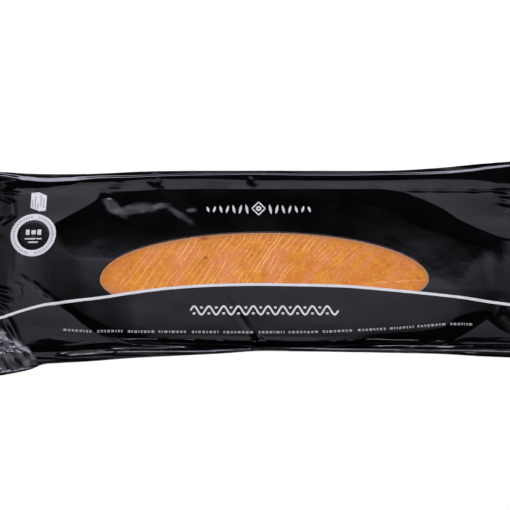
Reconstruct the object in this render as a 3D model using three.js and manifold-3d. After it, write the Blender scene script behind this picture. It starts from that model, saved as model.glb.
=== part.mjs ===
// A vacuum-packed side of smoked salmon. A black film pouch is drawn down tight over a fish side
// that lies on a flat board; a lens-shaped clear window shows the fish, and a small paper label
// is stuck beside one end. The film runs out past the board as a flat edge on the long sides and
// as crumpled ends with a heat seal, and one front corner is folded up into a creased bundle.
//
// Millimetres, +Z up. +X runs along the pack, +Y to its back edge. The origin is on the flat
// underside, below the middle of the pack.

import * as THREE from 'three';
import { mergeVertices } from 'three/addons/utils/BufferGeometryUtils.js';
import Module from 'manifold-3d';

// ---- Driving dimensions: film and board

const PACK_LENGTH = 620;
const FILM_THICK = 0.9;         // both layers of film and the seal between them
const BOARD_TOP = 3.6;          // board with the film over it
const BOARD_LEFT = -268;
const BOARD_RIGHT = 284;
const END_DROP = 20;            // run of the film from a board end down to the table
const SEAL_WIDTH = 12;          // flat heat seal along each end

// Lines that run along the pack, each given by the few points that shape it: [x, y].
const FRONT_EDGE = [
  [-310, -131], [-289, -131], [-270, -129], [-239, -122.5], [-226, -117], [-207, -115.3],
  [-176, -113.5], [-128, -109.7], [-80, -107.2], [-32, -104.6], [5, -102], [50, -102.6],
  [130, -103.8], [200, -105.5], [240, -108], [271, -109.3], [310, -111],
];
const FRONT_FOOT = [
  [-310, -104], [-230, -103.5], [-176, -102.5], [-100, -99.5], [0, -98.2], [150, -99.5],
  [240, -101], [310, -102],
];
const BOARD_FRONT = [
  [-310, -98], [-250, -97], [-238, -94], [-226, -89], [-212, -88.8], [-192, -91.8],
  [-170, -91.3], [-150, -93.5], [-120, -96.2], [-60, -96.9], [170, -96.9], [205, -95],
  [225, -88.5], [250, -88.2], [310, -88],
];
const BACK_TOP = [
  [-310, 80], [-285, 81.5], [-274, 83], [-263, 84], [-235, 84.5], [-224, 86.5], [-207, 88.6],
  [-196, 91], [-174, 92], [-140, 94.3], [-125, 95.8], [-90, 96.3], [-50, 96.3], [0, 94.6],
  [50, 94.3], [140, 94.3], [200, 95.6], [222, 95], [242, 94.5], [262, 92], [275, 89.5], [310, 88],
];
const BACK_EDGE = [
  [-310, 106.5], [-281, 106], [-250, 104], [-186, 104], [-118, 107.2], [0, 108], [150, 108],
  [203, 111], [254, 115.5], [310, 120.5],
];

// The film comes down behind the board by a slow ramp and then a short step.
const BACK_STEP = [
  [-310, 101.5], [-287, 100.1], [-270, 98.8], [-258.7, 97.6], [-236, 95.8], [-208, 96.6],
  [-174, 99.5], [-140, 100.3], [-95.7, 102.2], [-50.7, 103.2], [0, 103.7], [50.7, 102.8],
  [107, 102.8], [163, 103.8], [208.5, 105], [242.5, 108], [265, 111.5], [310, 117],
];
const BACK_STEP_WIDTH = [
  [-310, 8], [-208, 7.4], [-180, 5], [-100, 3.2], [150, 3.2], [220, 5], [310, 5.4],
];
const BACK_STEP_SHARE = [
  [-310, 0.6], [-208, 0.6], [-150, 0.4], [150, 0.4], [200, 0.48], [240, 0.42], [310, 0.42],
];
// How much higher than the board the film stands along its back edge, near both ends.
const BACK_LIFT = [
  [-310, 1.8], [-262, 1.7], [-240, 1.5], [-205, 0.7], [-170, 0], [190, 0], [225, 0.5],
  [250, 1.2], [272, 2.6], [310, 3.2],
];
const BACK_LIFT_START = 50;     // y where that lift begins
const BACK_LIFT_RUN = 30;
const BACK_RAMP_CURVE = 1.25;
const FRONT_DROP_CURVE = 1.3;

// ---- Driving dimensions: the fish under the film

const FISH_LEFT = -268;
const FISH_RIGHT = 310;
const FISH_HEIGHT = [
  [-268, 0], [-250, 1.7], [-226, 4.1], [-200, 7], [-170, 9.3], [-150, 10.7], [-125, 11.9],
  [-100, 12.5], [-60, 13], [40, 13.1], [120, 13], [165, 12.9], [182, 12.6], [204, 11.9],
  [226, 10.5], [248, 8.8], [262, 7.2], [280, 4], [296, 1.3], [310, 0],
];
const FISH_BACK = [
  [-264, -8], [-250, 13], [-235, 30], [-224, 41], [-209.6, 50.5], [-194.7, 59.8], [-176.3, 71.4],
  [-171, 80], [-151, 80.9], [-100.7, 83], [0, 83.3], [139.9, 83.3], [162, 80.9], [184, 72.4],
  [206, 61.6], [227, 46.5], [248.8, 35.5], [267, 27.5], [281, 24],
];
const BACK_RUN = [
  [-264, -8], [-250, 13], [-224, 39], [-195, 57], [-165, 72.5], [-130, 80.5], [-100, 83],
  [0, 83.3], [140, 83.3], [165, 79], [184, 72], [206, 61.6], [227, 47], [249, 36], [267, 29],
  [281, 26],
];
const FISH_FRONT = [
  [-264, -16], [-251, -22], [-237, -30.5], [-226.7, -39], [-206, -55.5], [-197, -61.5],
  [-188, -69.5], [-178, -77], [-166, -84], [-155, -89], [-140, -94], [-120, -96.5], [-60, -98],
  [0, -99], [80, -99], [130, -97.5], [190, -98], [203, -97], [219.6, -86.5], [230.7, -79.7],
  [242, -72], [250, -68], [262, -78], [282, -90],
];
// Share of the fish's height that its front shoulder takes; the rest is a slow ramp behind it.
const FRONT_SHARE = [
  [-264, 0.02], [-222, 0.02], [-212, 0.2], [-204, 0.38], [-190, 0.48], [-176, 0.56], [-160, 0.64],
  [-140, 0.84], [-120, 1], [215, 1], [232, 0.75], [246, 0.48], [256, 0.24], [266, 0.05], [274, 0],
];
const FRONT_REACH = [
  [-264, 90], [-222, 80], [-204, 64], [-190, 64], [-170, 78], [-150, 80], [-130, 60], [210, 60],
  [254, 80], [282, 100],
];
const FRONT_REACH_CURVE = 1.2;
// In the middle the shoulder is one tight round; towards the ends it is a wall and a long run.
const FRONT_ROUND = [[-264, 4], [-90, 4], [48, 3.5], [150, 4], [282, 4]];
const FRONT_ROUND_CURVE = 1.3;
const FRONT_EASING = [[-140, 1], [-108, 0], [108, 0], [145, 1]];
const FRONT_RUN = [
  [-264, 5], [-214, 5], [-204, 6], [-190, 7.5], [-176, 9], [-160, 9.5], [-100, 9], [100, 8],
  [140, 9], [165, 10], [182, 12], [204, 17], [215, 20], [231, 16], [242, 11], [250, 8], [282, 8],
];
const FRONT_RUN_CURVE = 1.15;
const FRONT_WALL = [
  [-185, 0], [-170, 0.2], [-160, 0.4], [-140, 0.7], [150, 0.7], [182, 0.62], [204, 0.5],
  [215, 0.45], [240, 0.2],
];
const FRONT_WALL_WIDTH = 2.4;
const FRONT_WALL_CURVE = 1.5;
// Width of the steeper strip along the fish's back edge.
const BACK_BAND = [
  [-264, 8], [-224, 12], [-195, 20], [-167, 20], [-100, 12], [0, 11], [110, 14], [150, 28],
  [182, 38], [204, 34], [226, 28], [248, 22], [261, 18], [266, 12], [272, 3], [310, 1],
];
const BAND_SLOPE = 0.1;
const BAND_CURVE = 1.12;
// Where the slope from the back edge levels out, and how round it is.
const CROWN_BACK = [[-264, -2], [-150, -4], [-90, -20], [90, -20], [150, -36], [282, -36]];
const BACK_CURVE = [[-264, 1.12], [-90, 1.15], [90, 1.15], [150, 1.04], [282, 1.04]];
const MIN_REACH = 8;
const CROWN_Y = -34;            // line of the fish's highest part
const CROWN_FALL = 1.2;         // drop from there to the front shoulder

// ---- Driving dimensions: the window, the band under it and the label

const WINDOW_CENTRE = [10, -25.5];
const WINDOW_HALF_LENGTH = 178;
const WINDOW_RISE = 54.6;       // from the centre to the window's upper edge
const WINDOW_DROP = 44;         // and to where its lower edge would be, but for the band
const BAND_LINE = [
  [-310, -73], [-272.7, -66], [-264.3, -63], [-246.5, -57], [-225.4, -51.5], [-198.8, -49],
  [-166.7, -46.3], [-134, -42.2], [-91, -37], [-48, -34.2], [0, -33], [48, -33.6], [72, -34.1],
  [102, -35.3], [132, -38], [155, -40.2], [199, -44.6], [231, -47.8], [252, -49.8],
  [268, -51.5], [310, -56],
];
const BAND_HALF_WIDTH = 1.35;
const WINDOW_ARC_STEPS = 48;
const WINDOW_BASE_STEPS = 24;
const CROSSING_STEPS = 30;
const FIT_GAP = 0.3;
const FLESH_BASE = BOARD_TOP + FIT_GAP;

const LABEL_CENTRE = [-240.6, 68];
const LABEL_WIDTH = 17.6;
const LABEL_SIDE_LENGTH = 18;
const LABEL_PEAK = 3.6;         // how much longer the label is along its middle
const LABEL_TURN = -0.07;
const LABEL_THICK = 0.5;
const LABEL_GAP = 0.5;

// ---- Driving dimensions: creases, puckers and the folded corner

// Each crease is a ridge (height above 0) or a groove (below 0) from one point to another.
const CREASES = [
  { name: 'centre crease', from: [-29, -50], to: [-15, -70], width: 2, height: -0.24 },
  { name: 'centre crease end', from: [-17, -66], to: [-5, -86], width: 3.2, height: -0.5 },
  { name: 'front notch', from: [-2, -92], to: [1, -99], width: 3, height: -2.6 },
  { name: 'front right pucker', from: [166, -95], to: [168, -101], width: 3, height: -1.4 },
  { name: 'back left pucker', from: [-112, 99], to: [-106, 90], width: 5, height: -1.3 },
  { name: 'back middle pucker', from: [-8, 99], to: [-2, 92], width: 3.6, height: -1 },
  { name: 'tip of the back fold', from: [-171, 81], to: [-160, 76], width: 3, height: -0.4 },
  { name: 'left end fold', from: [-280, -32], to: [-266, -36], width: 2.2, height: -0.9 },
  { name: 'second left end fold', from: [-280, -41], to: [-263, -48], width: 2.2, height: -1 },
  { name: 'left corner fold', from: [-266, -66], to: [-253, -91], width: 2.6, height: -1 },
  { name: 'left corner ridge', from: [-271, -70], to: [-259, -92], width: 2.4, height: 0.9 },
  { name: 'first left dash', from: [-256, -18.5], to: [-246, -25.4], width: 1.7, height: -0.45 },
  { name: 'second left dash', from: [-241.6, -26.5], to: [-232.4, -34.5], width: 2.1, height: -0.6 },
  { name: 'third left dash', from: [-231.2, -35.7], to: [-222.1, -42.5], width: 2.5, height: -0.75 },
  { name: 'right end fold', from: [269, 81], to: [284, 79], width: 3.4, height: -1 },
  { name: 'second right end fold', from: [271, 73], to: [285, 70], width: 3.6, height: -1 },
  { name: 'third right end fold', from: [272, 64], to: [284, 60], width: 3.6, height: -0.8 },
  { name: 'right front crease', from: [269, -64], to: [283, -75], width: 2.2, height: -1 },
  { name: 'left back hem', from: [-310, 100.5], to: [-266, 98], width: 3.4, height: 1.5 },
  { name: 'front left hem', from: [-222, -101], to: [-140, -98.5], width: 2, height: 1.5 },
  { name: 'front right hem', from: [176, -97], to: [300, -96.5], width: 1.8, height: 0.9 },
];

const BUNDLE_BACK = [
  [-310, -60], [-290, -68], [-272.6, -80], [-261, -89], [-250, -95], [-242.5, -99], [-236, -107],
  [-228, -111],
];
const BUNDLE_HEIGHT = [[-310, 12], [-270, 10.5], [-248, 8], [-236, 5], [-228, 0]];
const BUNDLE_ROUND = 22;
const BUNDLE_CURVE = 1.25;
const BUNDLE_FOLD = { size: 24, height: 5, folds: 3 };
const BUNDLE_MIN = 0.4;

const CRUMPLE_SIZE = 17;        // distance between the film's crumples past the board
const CRUMPLE_HEIGHT = 1.5;
const RIDGE_SIZE = 11;
const RIDGE_HEIGHT = 0.55;
const CRUMPLE_WARP = 9;
const WARP_SIZE = 21;
const BACK_CORNER_LIFT = 7;     // the back right corner of the film curls up off the table
const SEAL_WAVE = 2.4;
const SEAL_WAVE_PITCH = 58;

// ---- Grid of the film surface

const END_ZONE = 46;            // length at each end with closer columns
const END_COLUMNS = 10;
const MIDDLE_COLUMNS = 68;
const UNDER_SINK = 0.3;         // depth below the table that is cut off flat
const CUT_DEPTH = 40;           // reach of the cutting solids, past the whole pack

// ---- Small functions

const clamp01 = value => Math.min(Math.max(value, 0), 1);
const mix = (a, b, t) => a + (b - a) * t;

function ease(value) {
  const t = clamp01(value);
  return t * t * (3 - 2 * t);
}

// Rises steeply from 0 and rounds over to 1, as film does over an edge.
function shoulder(value) {
  const t = 1 - clamp01(value);
  return Math.sqrt(1 - t * t);
}

// A smooth y(x) through a few points, held level past its two ends.
function smoothLine(points) {
  const last = points.length - 1;
  const slopes = points.map((point, i) => {
    const before = points[Math.max(i - 1, 0)];
    const after = points[Math.min(i + 1, last)];
    return (after[1] - before[1]) / (after[0] - before[0]);
  });
  return x => {
    if (x <= points[0][0]) return points[0][1];
    if (x >= points[last][0]) return points[last][1];
    const next = points.findIndex(point => x < point[0]);
    const [x0, y0] = points[next - 1];
    const [x1, y1] = points[next];
    const span = x1 - x0;
    const t = (x - x0) / span;
    const bend0 = slopes[next - 1] * span * t * (1 - t) * (1 - t);
    const bend1 = slopes[next] * span * t * t * (1 - t);
    return mix(y0, y1, t * t * (3 - 2 * t)) + bend0 - bend1;
  };
}

function distanceToSegment(x, y, from, to) {
  const runX = to[0] - from[0];
  const runY = to[1] - from[1];
  const along = ((x - from[0]) * runX + (y - from[1]) * runY) / (runX * runX + runY * runY);
  const t = clamp01(along);
  return Math.hypot(x - from[0] - t * runX, y - from[1] - t * runY);
}

// Repeatable noise from 0 to 1 on a lattice, and its sharp-ridged form.
function latticeValue(i, j, seed) {
  const wave = Math.sin(i * 12.9898 + j * 78.233 + seed * 37.719) * 437.585;
  return wave - Math.floor(wave);
}

function noise(x, y, seed = 0) {
  const i = Math.floor(x);
  const j = Math.floor(y);
  const s = ease(x - i);
  const t = ease(y - j);
  const low = mix(latticeValue(i, j, seed), latticeValue(i + 1, j, seed), s);
  const high = mix(latticeValue(i, j + 1, seed), latticeValue(i + 1, j + 1, seed), s);
  return mix(low, high, t);
}

const ridges = (x, y) => 1 - Math.abs(2 * noise(x, y) - 1);

// Relief of crumpled film, from about 0 to 1: flat facets that meet in straight creases.
function facets(x, y, { size, folds }, seed) {
  const warpX = x + size * 1.3 * (noise(x / size / 2.3, y / size / 2.3, seed + 5) - 0.5);
  const warpY = y + size * 1.3 * (noise(x / size / 2.3, y / size / 2.3, seed + 9) - 0.5);
  let total = 0;
  let weight = 0;
  for (let k = 0; k < folds; k++) {
    const angle = 2.399 * k + 0.7 * seed + 0.35;
    const share = Math.pow(0.8, k);
    const across = (warpX * Math.cos(angle) + warpY * Math.sin(angle)) / (size * share) + 0.37 * k;
    total += share * Math.abs(2 * (across - Math.floor(across)) - 1);
    weight += share;
  }
  return total / weight;
}

// ---- The film surface

const frontEdge = smoothLine(FRONT_EDGE);
const frontFoot = smoothLine(FRONT_FOOT);
const backTop = smoothLine(BACK_TOP);
const backStep = smoothLine(BACK_STEP);
const backStepWidth = smoothLine(BACK_STEP_WIDTH);
const backStepShare = smoothLine(BACK_STEP_SHARE);
const backLift = smoothLine(BACK_LIFT);
const boardFront = smoothLine(BOARD_FRONT);
const backEdge = smoothLine(BACK_EDGE);
const fishBack = smoothLine(FISH_BACK);
const fishFront = smoothLine(FISH_FRONT);
const fishHeight = smoothLine(FISH_HEIGHT);
const frontShare = smoothLine(FRONT_SHARE);
const frontReach = smoothLine(FRONT_REACH);
const frontRound = smoothLine(FRONT_ROUND);
const frontEasing = smoothLine(FRONT_EASING);
const frontRun = smoothLine(FRONT_RUN);
const frontWall = smoothLine(FRONT_WALL);
const backBand = smoothLine(BACK_BAND);
const backRun = smoothLine(BACK_RUN);
const backCurve = smoothLine(BACK_CURVE);
const crownBack = smoothLine(CROWN_BACK);
const bundleBack = smoothLine(BUNDLE_BACK);
const bundleHeight = smoothLine(BUNDLE_HEIGHT);
const bandLine = smoothLine(BAND_LINE);

const backFoot = x => backStep(x) + backStepWidth(x) / 2;

// Rises from 0 to 1 over a width: the higher the curve value, the rounder its top.
const rounded = (value, width, curve) => 1 - Math.pow(1 - clamp01(value / width), curve);

// 1 over the board, 0 where the film has come down to the table all round it.
function boardCover(x, y) {
  const foot = backFoot(x);
  const step = ease((foot - y) / backStepWidth(x));
  const ramp = rounded(foot - y, foot - backTop(x), BACK_RAMP_CURVE);
  const lift = backLift(x) / (BOARD_TOP - FILM_THICK);
  const raised = 1 + lift * ease((y - BACK_LIFT_START) / BACK_LIFT_RUN);
  const back = mix(ramp, step, backStepShare(x) / (1 + lift)) * raised;
  const front = rounded(y - frontFoot(x), boardFront(x) - frontFoot(x), FRONT_DROP_CURVE);
  const left = ease((x - BOARD_LEFT + END_DROP) / END_DROP);
  const right = ease((BOARD_RIGHT + END_DROP - x) / END_DROP);
  return back * front * left * right;
}

// The fish side stands steep in front and slopes down behind, steepest along its back edge.
function fishRise(x, y) {
  const height = fishHeight(x);
  if (x <= FISH_LEFT || x >= FISH_RIGHT || height <= 0) return 0;
  const inward = y - fishFront(x);
  const sharp = rounded(inward, frontRound(x), FRONT_ROUND_CURVE);
  const run = rounded(inward, frontRun(x), FRONT_RUN_CURVE);
  const wall = rounded(inward, FRONT_WALL_WIDTH, FRONT_WALL_CURVE);
  const shoulderRise = mix(sharp, mix(run, wall, frontWall(x)), frontEasing(x));
  const ramp = rounded(inward, frontReach(x), FRONT_REACH_CURVE);
  const fromFront = mix(ramp, shoulderRise, frontShare(x));
  const depth = fishBack(x) - y;
  const bandShare = Math.min(BAND_SLOPE * backBand(x) / BAND_CURVE / height, 0.9);
  const steep = rounded(depth, backBand(x), BAND_CURVE);
  const reach = Math.max(backRun(x) - crownBack(x), MIN_REACH);
  const gentle = rounded(backRun(x) - y, reach, backCurve(x));
  const fromBack = bandShare * steep + (1 - bandShare) * gentle * ease(depth / 4 + 0.5);
  const fall = CROWN_FALL * Math.pow(clamp01((CROWN_Y - y) / (CROWN_Y - boardFront(x))), 2);
  return Math.max(height - fall, 0) * fromFront * fromBack;
}

function creaseRelief(x, y) {
  let relief = 0;
  for (const crease of CREASES) {
    const away = distanceToSegment(x, y, crease.from, crease.to) / crease.width;
    relief += crease.height * Math.exp(-away * away);
  }
  return relief;
}

// How much of the crumple shows: past the board's ends, and none on the flat seals.
function endCrumple(x) {
  const pastLeft = ease((BOARD_LEFT - x) / END_DROP);
  const pastRight = ease((x - BOARD_RIGHT) / END_DROP);
  const toSeal = ease((PACK_LENGTH / 2 - SEAL_WIDTH + 4 - Math.abs(x)) / 8);
  return Math.max(pastLeft, pastRight) * toSeal;
}

function bundleRise(x, y) {
  const height = bundleHeight(x);
  if (height <= 0 || y >= bundleBack(x)) return 0;
  const back = rounded(bundleBack(x) - y, BUNDLE_ROUND, BUNDLE_CURVE);
  const front = shoulder((y - frontEdge(x)) / BUNDLE_ROUND);
  const fold = BUNDLE_FOLD.height * (facets(x, y, BUNDLE_FOLD, 2) - 0.5);
  return Math.max(height + fold, BUNDLE_MIN) * back * front;
}

// Underside: flat on the table, but for the curled back corner and the wavy end seals.
function undersideHeight(x, y) {
  const corner = ease((x - 200) / 110) * ease((y - backFoot(x) + 1) / 8);
  const seal = ease((Math.abs(x) - PACK_LENGTH / 2 + SEAL_WIDTH + 6) / SEAL_WIDTH);
  const wave = 0.5 + 0.5 * Math.sin(2 * Math.PI * y / SEAL_WAVE_PITCH + 0.8);
  return BACK_CORNER_LIFT * corner + SEAL_WAVE * seal * wave;
}

// Broad crumples of the film past the board, with sharper ridges over them.
function crumpleRelief(x, y) {
  const wavyX = x + CRUMPLE_WARP * (noise(x / WARP_SIZE, y / WARP_SIZE, 31) - 0.5);
  const wavyY = y + CRUMPLE_WARP * (noise(x / WARP_SIZE, y / WARP_SIZE, 32) - 0.5);
  const broad = CRUMPLE_HEIGHT * noise(wavyX / CRUMPLE_SIZE, wavyY / CRUMPLE_SIZE);
  const sharp = RIDGE_HEIGHT * Math.pow(ridges(wavyX / RIDGE_SIZE, wavyY / RIDGE_SIZE), 2);
  return (broad + sharp) * endCrumple(x);
}

function topHeight(x, y) {
  const underside = undersideHeight(x, y);
  const board = (BOARD_TOP - FILM_THICK) * boardCover(x, y);
  const inside = ease((y - frontEdge(x)) / 5) * ease((backEdge(x) - y) / 5);
  const relief = (creaseRelief(x, y) + crumpleRelief(x, y)) * inside;
  const film = underside + FILM_THICK + board + fishRise(x, y) + relief;
  return Math.max(film, FILM_THICK + bundleRise(x, y), underside + FILM_THICK);
}

// ---- Meshes

// Bands from the front edge to the back edge: the line each ends on, and its number of strips.
const BANDS = [
  { line: frontFoot, strips: 3 },
  { line: boardFront, strips: 2 },
  { line: x => boardFront(x) + 8, strips: 4 },
  { line: bandLine, strips: 6 },
  { line: () => 26, strips: 8 },
  { line: () => 62, strips: 4 },
  { line: () => 76, strips: 2 },
  { line: x => backTop(x) - 0.5, strips: 3 },
  { line: backFoot, strips: 3 },
  { line: backEdge, strips: 2 },
];

// Straight lines across the pack, closer together at the two ends.
function columnPlaces() {
  const half = PACK_LENGTH / 2;
  const places = [];
  for (let i = 0; i < END_COLUMNS; i++) places.push(mix(-half, END_ZONE - half, i / END_COLUMNS));
  for (let i = 0; i <= MIDDLE_COLUMNS; i++) {
    places.push(mix(END_ZONE - half, half - END_ZONE, i / MIDDLE_COLUMNS));
  }
  for (let i = 1; i <= END_COLUMNS; i++) places.push(mix(half - END_ZONE, half, i / END_COLUMNS));
  return places;
}

function rowPlaces(x) {
  const places = [frontEdge(x)];
  for (const band of BANDS) {
    const start = places[places.length - 1];
    for (let i = 1; i <= band.strips; i++) places.push(mix(start, band.line(x), i / band.strips));
  }
  return places;
}

// A box of columns and rows whose top and bottom vertices are moved to the given heights.
function closedGrid(columns, rows, place) {
  const box = new THREE.BoxGeometry(columns, rows, 1, columns, rows, 1);
  box.deleteAttribute('normal');
  box.deleteAttribute('uv');
  const geometry = mergeVertices(box);
  const position = geometry.attributes.position;
  for (let i = 0; i < position.count; i++) {
    const column = Math.round(position.getX(i) + columns / 2);
    const row = Math.round(position.getY(i) + rows / 2);
    position.setXYZ(i, ...place(column, row, position.getZ(i) > 0));
  }
  return geometry;
}

function filmGeometry() {
  const columns = columnPlaces();
  const rowsAt = columns.map(rowPlaces);
  return closedGrid(columns.length - 1, rowsAt[0].length - 1, (column, row, isTop) => {
    const x = columns[column];
    const y = rowsAt[column][row];
    return [x, y, isTop ? topHeight(x, y) : undersideHeight(x, y) - UNDER_SINK];
  });
}

// Everything above the table, to cut the underside flat.
function aboveTable() {
  const box = new THREE.BoxGeometry(2 * PACK_LENGTH, PACK_LENGTH, CUT_DEPTH);
  return box.translate(0, 0, CUT_DEPTH / 2);
}

// The window's outline is an oval, cut off along the top of the printed band.
function ovalPoint(angle, inset) {
  const halfWidth = (Math.sin(angle) > 0 ? WINDOW_RISE : WINDOW_DROP) - inset;
  const x = WINDOW_CENTRE[0] + (WINDOW_HALF_LENGTH - inset) * Math.cos(angle);
  return new THREE.Vector2(x, WINDOW_CENTRE[1] + halfWidth * Math.sin(angle));
}

const bandTop = (x, inset) => bandLine(x) + BAND_HALF_WIDTH + inset;

// The angle where the oval meets the band, between one angle above it and one below it.
function crossingAngle(above, below, inset) {
  let [high, low] = [above, below];
  for (let i = 0; i < CROSSING_STEPS; i++) {
    const middle = (high + low) / 2;
    const point = ovalPoint(middle, inset);
    if (point.y > bandTop(point.x, inset)) high = middle;
    else low = middle;
  }
  return high;
}

function windowShape(inset) {
  const start = crossingAngle(0, -Math.PI / 2, inset);
  const end = crossingAngle(Math.PI, Math.PI * 1.5, inset);
  const outline = [];
  for (let i = 0; i <= WINDOW_ARC_STEPS; i++) {
    outline.push(ovalPoint(mix(start, end, i / WINDOW_ARC_STEPS), inset));
  }
  const right = outline[0].x;
  const left = outline[WINDOW_ARC_STEPS].x;
  for (let i = 1; i < WINDOW_BASE_STEPS; i++) {
    const x = mix(left, right, i / WINDOW_BASE_STEPS);
    outline.push(new THREE.Vector2(x, bandTop(x, inset)));
  }
  return new THREE.Shape(outline);
}

function windowPrism(inset, bottom) {
  const settings = { depth: CUT_DEPTH, bevelEnabled: false };
  return new THREE.ExtrudeGeometry(windowShape(inset), settings).translate(0, 0, bottom);
}

// The label lies on the film and bends over the ridge under it.
function labelGeometry() {
  const columns = 6;
  const rows = 6;
  const cos = Math.cos(LABEL_TURN);
  const sin = Math.sin(LABEL_TURN);
  return closedGrid(columns, rows, (column, row, isTop) => {
    const across = column / columns - 0.5;
    const length = LABEL_SIDE_LENGTH + LABEL_PEAK * (1 - Math.abs(2 * across));
    const x = across * LABEL_WIDTH;
    const y = (row / rows - 0.5) * length;
    const film = topHeight(LABEL_CENTRE[0] + x * cos - y * sin, LABEL_CENTRE[1] + x * sin + y * cos);
    return [x, y, film + LABEL_GAP + (isTop ? LABEL_THICK : 0)];
  });
}

// ---- Joining and cutting

const wasm = await Module();
wasm.setup();

function toSolid(source) {
  source.deleteAttribute('normal');
  source.deleteAttribute('uv');
  const geometry = mergeVertices(source);
  return new wasm.Manifold(new wasm.Mesh({
    numProp: 3,
    vertProperties: geometry.attributes.position.array,
    triVerts: Uint32Array.from(geometry.index.array),
  }));
}

function toGeometry(solid) {
  const mesh = solid.getMesh();
  const geometry = new THREE.BufferGeometry();
  geometry.setAttribute('position', new THREE.BufferAttribute(mesh.vertProperties, 3));
  geometry.setIndex(new THREE.BufferAttribute(mesh.triVerts, 1));
  geometry.computeVertexNormals();
  return geometry;
}

// ---- The pack

const MATERIALS = {
  film: new THREE.MeshStandardMaterial({ color: '#131316', roughness: 0.16, metalness: 0 }),
  flesh: new THREE.MeshStandardMaterial({ color: '#d88c50', roughness: 0.35, metalness: 0 }),
  paper: new THREE.MeshStandardMaterial({ color: '#d4d4da', roughness: 0.6, metalness: 0 }),
};

const group = new THREE.Group();

function addPiece(name, geometry, material) {
  const mesh = new THREE.Mesh(geometry, material);
  mesh.name = name;
  group.add(mesh);
  return mesh;
}

const filledPouch = toSolid(filmGeometry()).intersect(toSolid(aboveTable()));
const recess = toSolid(windowPrism(0, BOARD_TOP));
const fleshPrism = toSolid(windowPrism(FIT_GAP, FLESH_BASE));

addPiece('pouch', toGeometry(filledPouch.subtract(recess)), MATERIALS.film);
addPiece('salmon', toGeometry(filledPouch.intersect(fleshPrism)), MATERIALS.flesh);

const label = addPiece('label', labelGeometry(), MATERIALS.paper);
label.position.set(LABEL_CENTRE[0], LABEL_CENTRE[1], 0);
label.rotation.z = LABEL_TURN;

export default group;
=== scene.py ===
"""Looks of a vacuum-packed side of smoked salmon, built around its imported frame.

The pack is one black laminate film drawn tight over a fish side on a board. The film is clear
inside a lens-shaped window, pale ink is printed on it, and a small paper label is stuck near one
end. Sizes are real millimetres in the frame's own axes (+X along the pack, +Y to its back edge,
+Z up) and are turned to metres only where a mesh is made. The studio's sizes are in metres.
"""

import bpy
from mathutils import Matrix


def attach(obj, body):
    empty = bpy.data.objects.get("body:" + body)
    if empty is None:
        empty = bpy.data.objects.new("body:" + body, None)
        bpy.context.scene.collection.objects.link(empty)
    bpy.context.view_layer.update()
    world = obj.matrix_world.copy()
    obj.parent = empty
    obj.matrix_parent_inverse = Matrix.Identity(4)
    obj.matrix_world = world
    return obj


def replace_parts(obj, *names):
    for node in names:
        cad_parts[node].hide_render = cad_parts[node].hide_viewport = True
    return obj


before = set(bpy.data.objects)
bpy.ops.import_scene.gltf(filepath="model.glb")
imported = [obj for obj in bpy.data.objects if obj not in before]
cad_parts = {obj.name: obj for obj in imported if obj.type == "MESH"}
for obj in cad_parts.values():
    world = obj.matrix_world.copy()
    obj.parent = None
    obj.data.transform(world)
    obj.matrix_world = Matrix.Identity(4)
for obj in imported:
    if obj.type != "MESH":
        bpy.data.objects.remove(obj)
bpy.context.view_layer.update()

import logging
import math
from dataclasses import dataclass
from enum import Enum
from typing import Any, Sequence

import bmesh
import bpy
import numpy as np
from mathutils import Vector
from mathutils.bvhtree import BVHTree

LOG = logging.getLogger("salmon_pack")
MM = 0.001
BODY = "root"
Array = np.ndarray
Point = tuple[float, float]
Stops = Sequence[tuple[float, float]]
Body = tuple[Array, list]


# ---------------------------------------------------------------- small helpers


def srgb(code: str) -> tuple[float, float, float, float]:
    """Turn an sRGB hex colour into linear values.

    Args:
        code: six hex digits after a hash.

    Returns:
        Linear red, green and blue, and an alpha of 1.
    """
    parts = [int(code[i : i + 2], 16) / 255 for i in (1, 3, 5)]
    linear = [c / 12.92 if c <= 0.04045 else ((c + 0.055) / 1.055) ** 2.4 for c in parts]
    return (linear[0], linear[1], linear[2], 1.0)


def add_node(
    tree: bpy.types.NodeTree,
    kind: str,
    settings: dict[Any, Any] | None = None,
    links: dict[Any, Any] | None = None,
) -> bpy.types.Node:
    """Add one shader node.

    Args:
        tree: the node tree it goes into.
        kind: the node's type name.
        settings: node properties by name, or input values by input name or number.
        links: what feeds each input, by its name or number: an output socket, or a node whose
            first output is meant.

    Returns:
        The new node.
    """
    node = tree.nodes.new(kind)
    for name, value in (settings or {}).items():
        if isinstance(name, str) and hasattr(node, name):
            setattr(node, name, value)
        else:
            node.inputs[name].default_value = value
    for name, source in (links or {}).items():
        socket = source.outputs[0] if isinstance(source, bpy.types.Node) else source
        tree.links.new(socket, node.inputs[name])
    return node


def new_material(name: str) -> tuple[bpy.types.Material, bpy.types.NodeTree]:
    """Make a material with an empty node tree.

    Args:
        name: the material's name.

    Returns:
        The material and its node tree.
    """
    material = bpy.data.materials.new(name)
    material.use_nodes = True
    material.node_tree.nodes.clear()
    return material, material.node_tree


def place_object(name: str, data: bpy.types.ID) -> bpy.types.Object:
    """Put a mesh, a lamp or a camera into the scene.

    Args:
        name: the object's name.
        data: what it shows.

    Returns:
        The new object.
    """
    thing = bpy.data.objects.new(name, data)
    bpy.context.scene.collection.objects.link(thing)
    return thing


def clamp01(value: Array) -> Array:
    """Hold values between 0 and 1."""
    return np.clip(value, 0.0, 1.0)


def ease(value: Array) -> Array:
    """Smooth step from 0 to 1."""
    t = clamp01(value)
    return t * t * (3 - 2 * t)


def taut(value: Array, power: Array | float) -> Array:
    """Rise from 0 to 1, the steeper at the start the higher the power, as tight film does."""
    return 1 - (1 - clamp01(value)) ** power


def shoulder(value: Array) -> Array:
    """Rise steeply from 0 and round over to 1, as film does over an edge."""
    t = 1 - clamp01(value)
    return np.sqrt(np.maximum(1 - t * t, 0))


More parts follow.
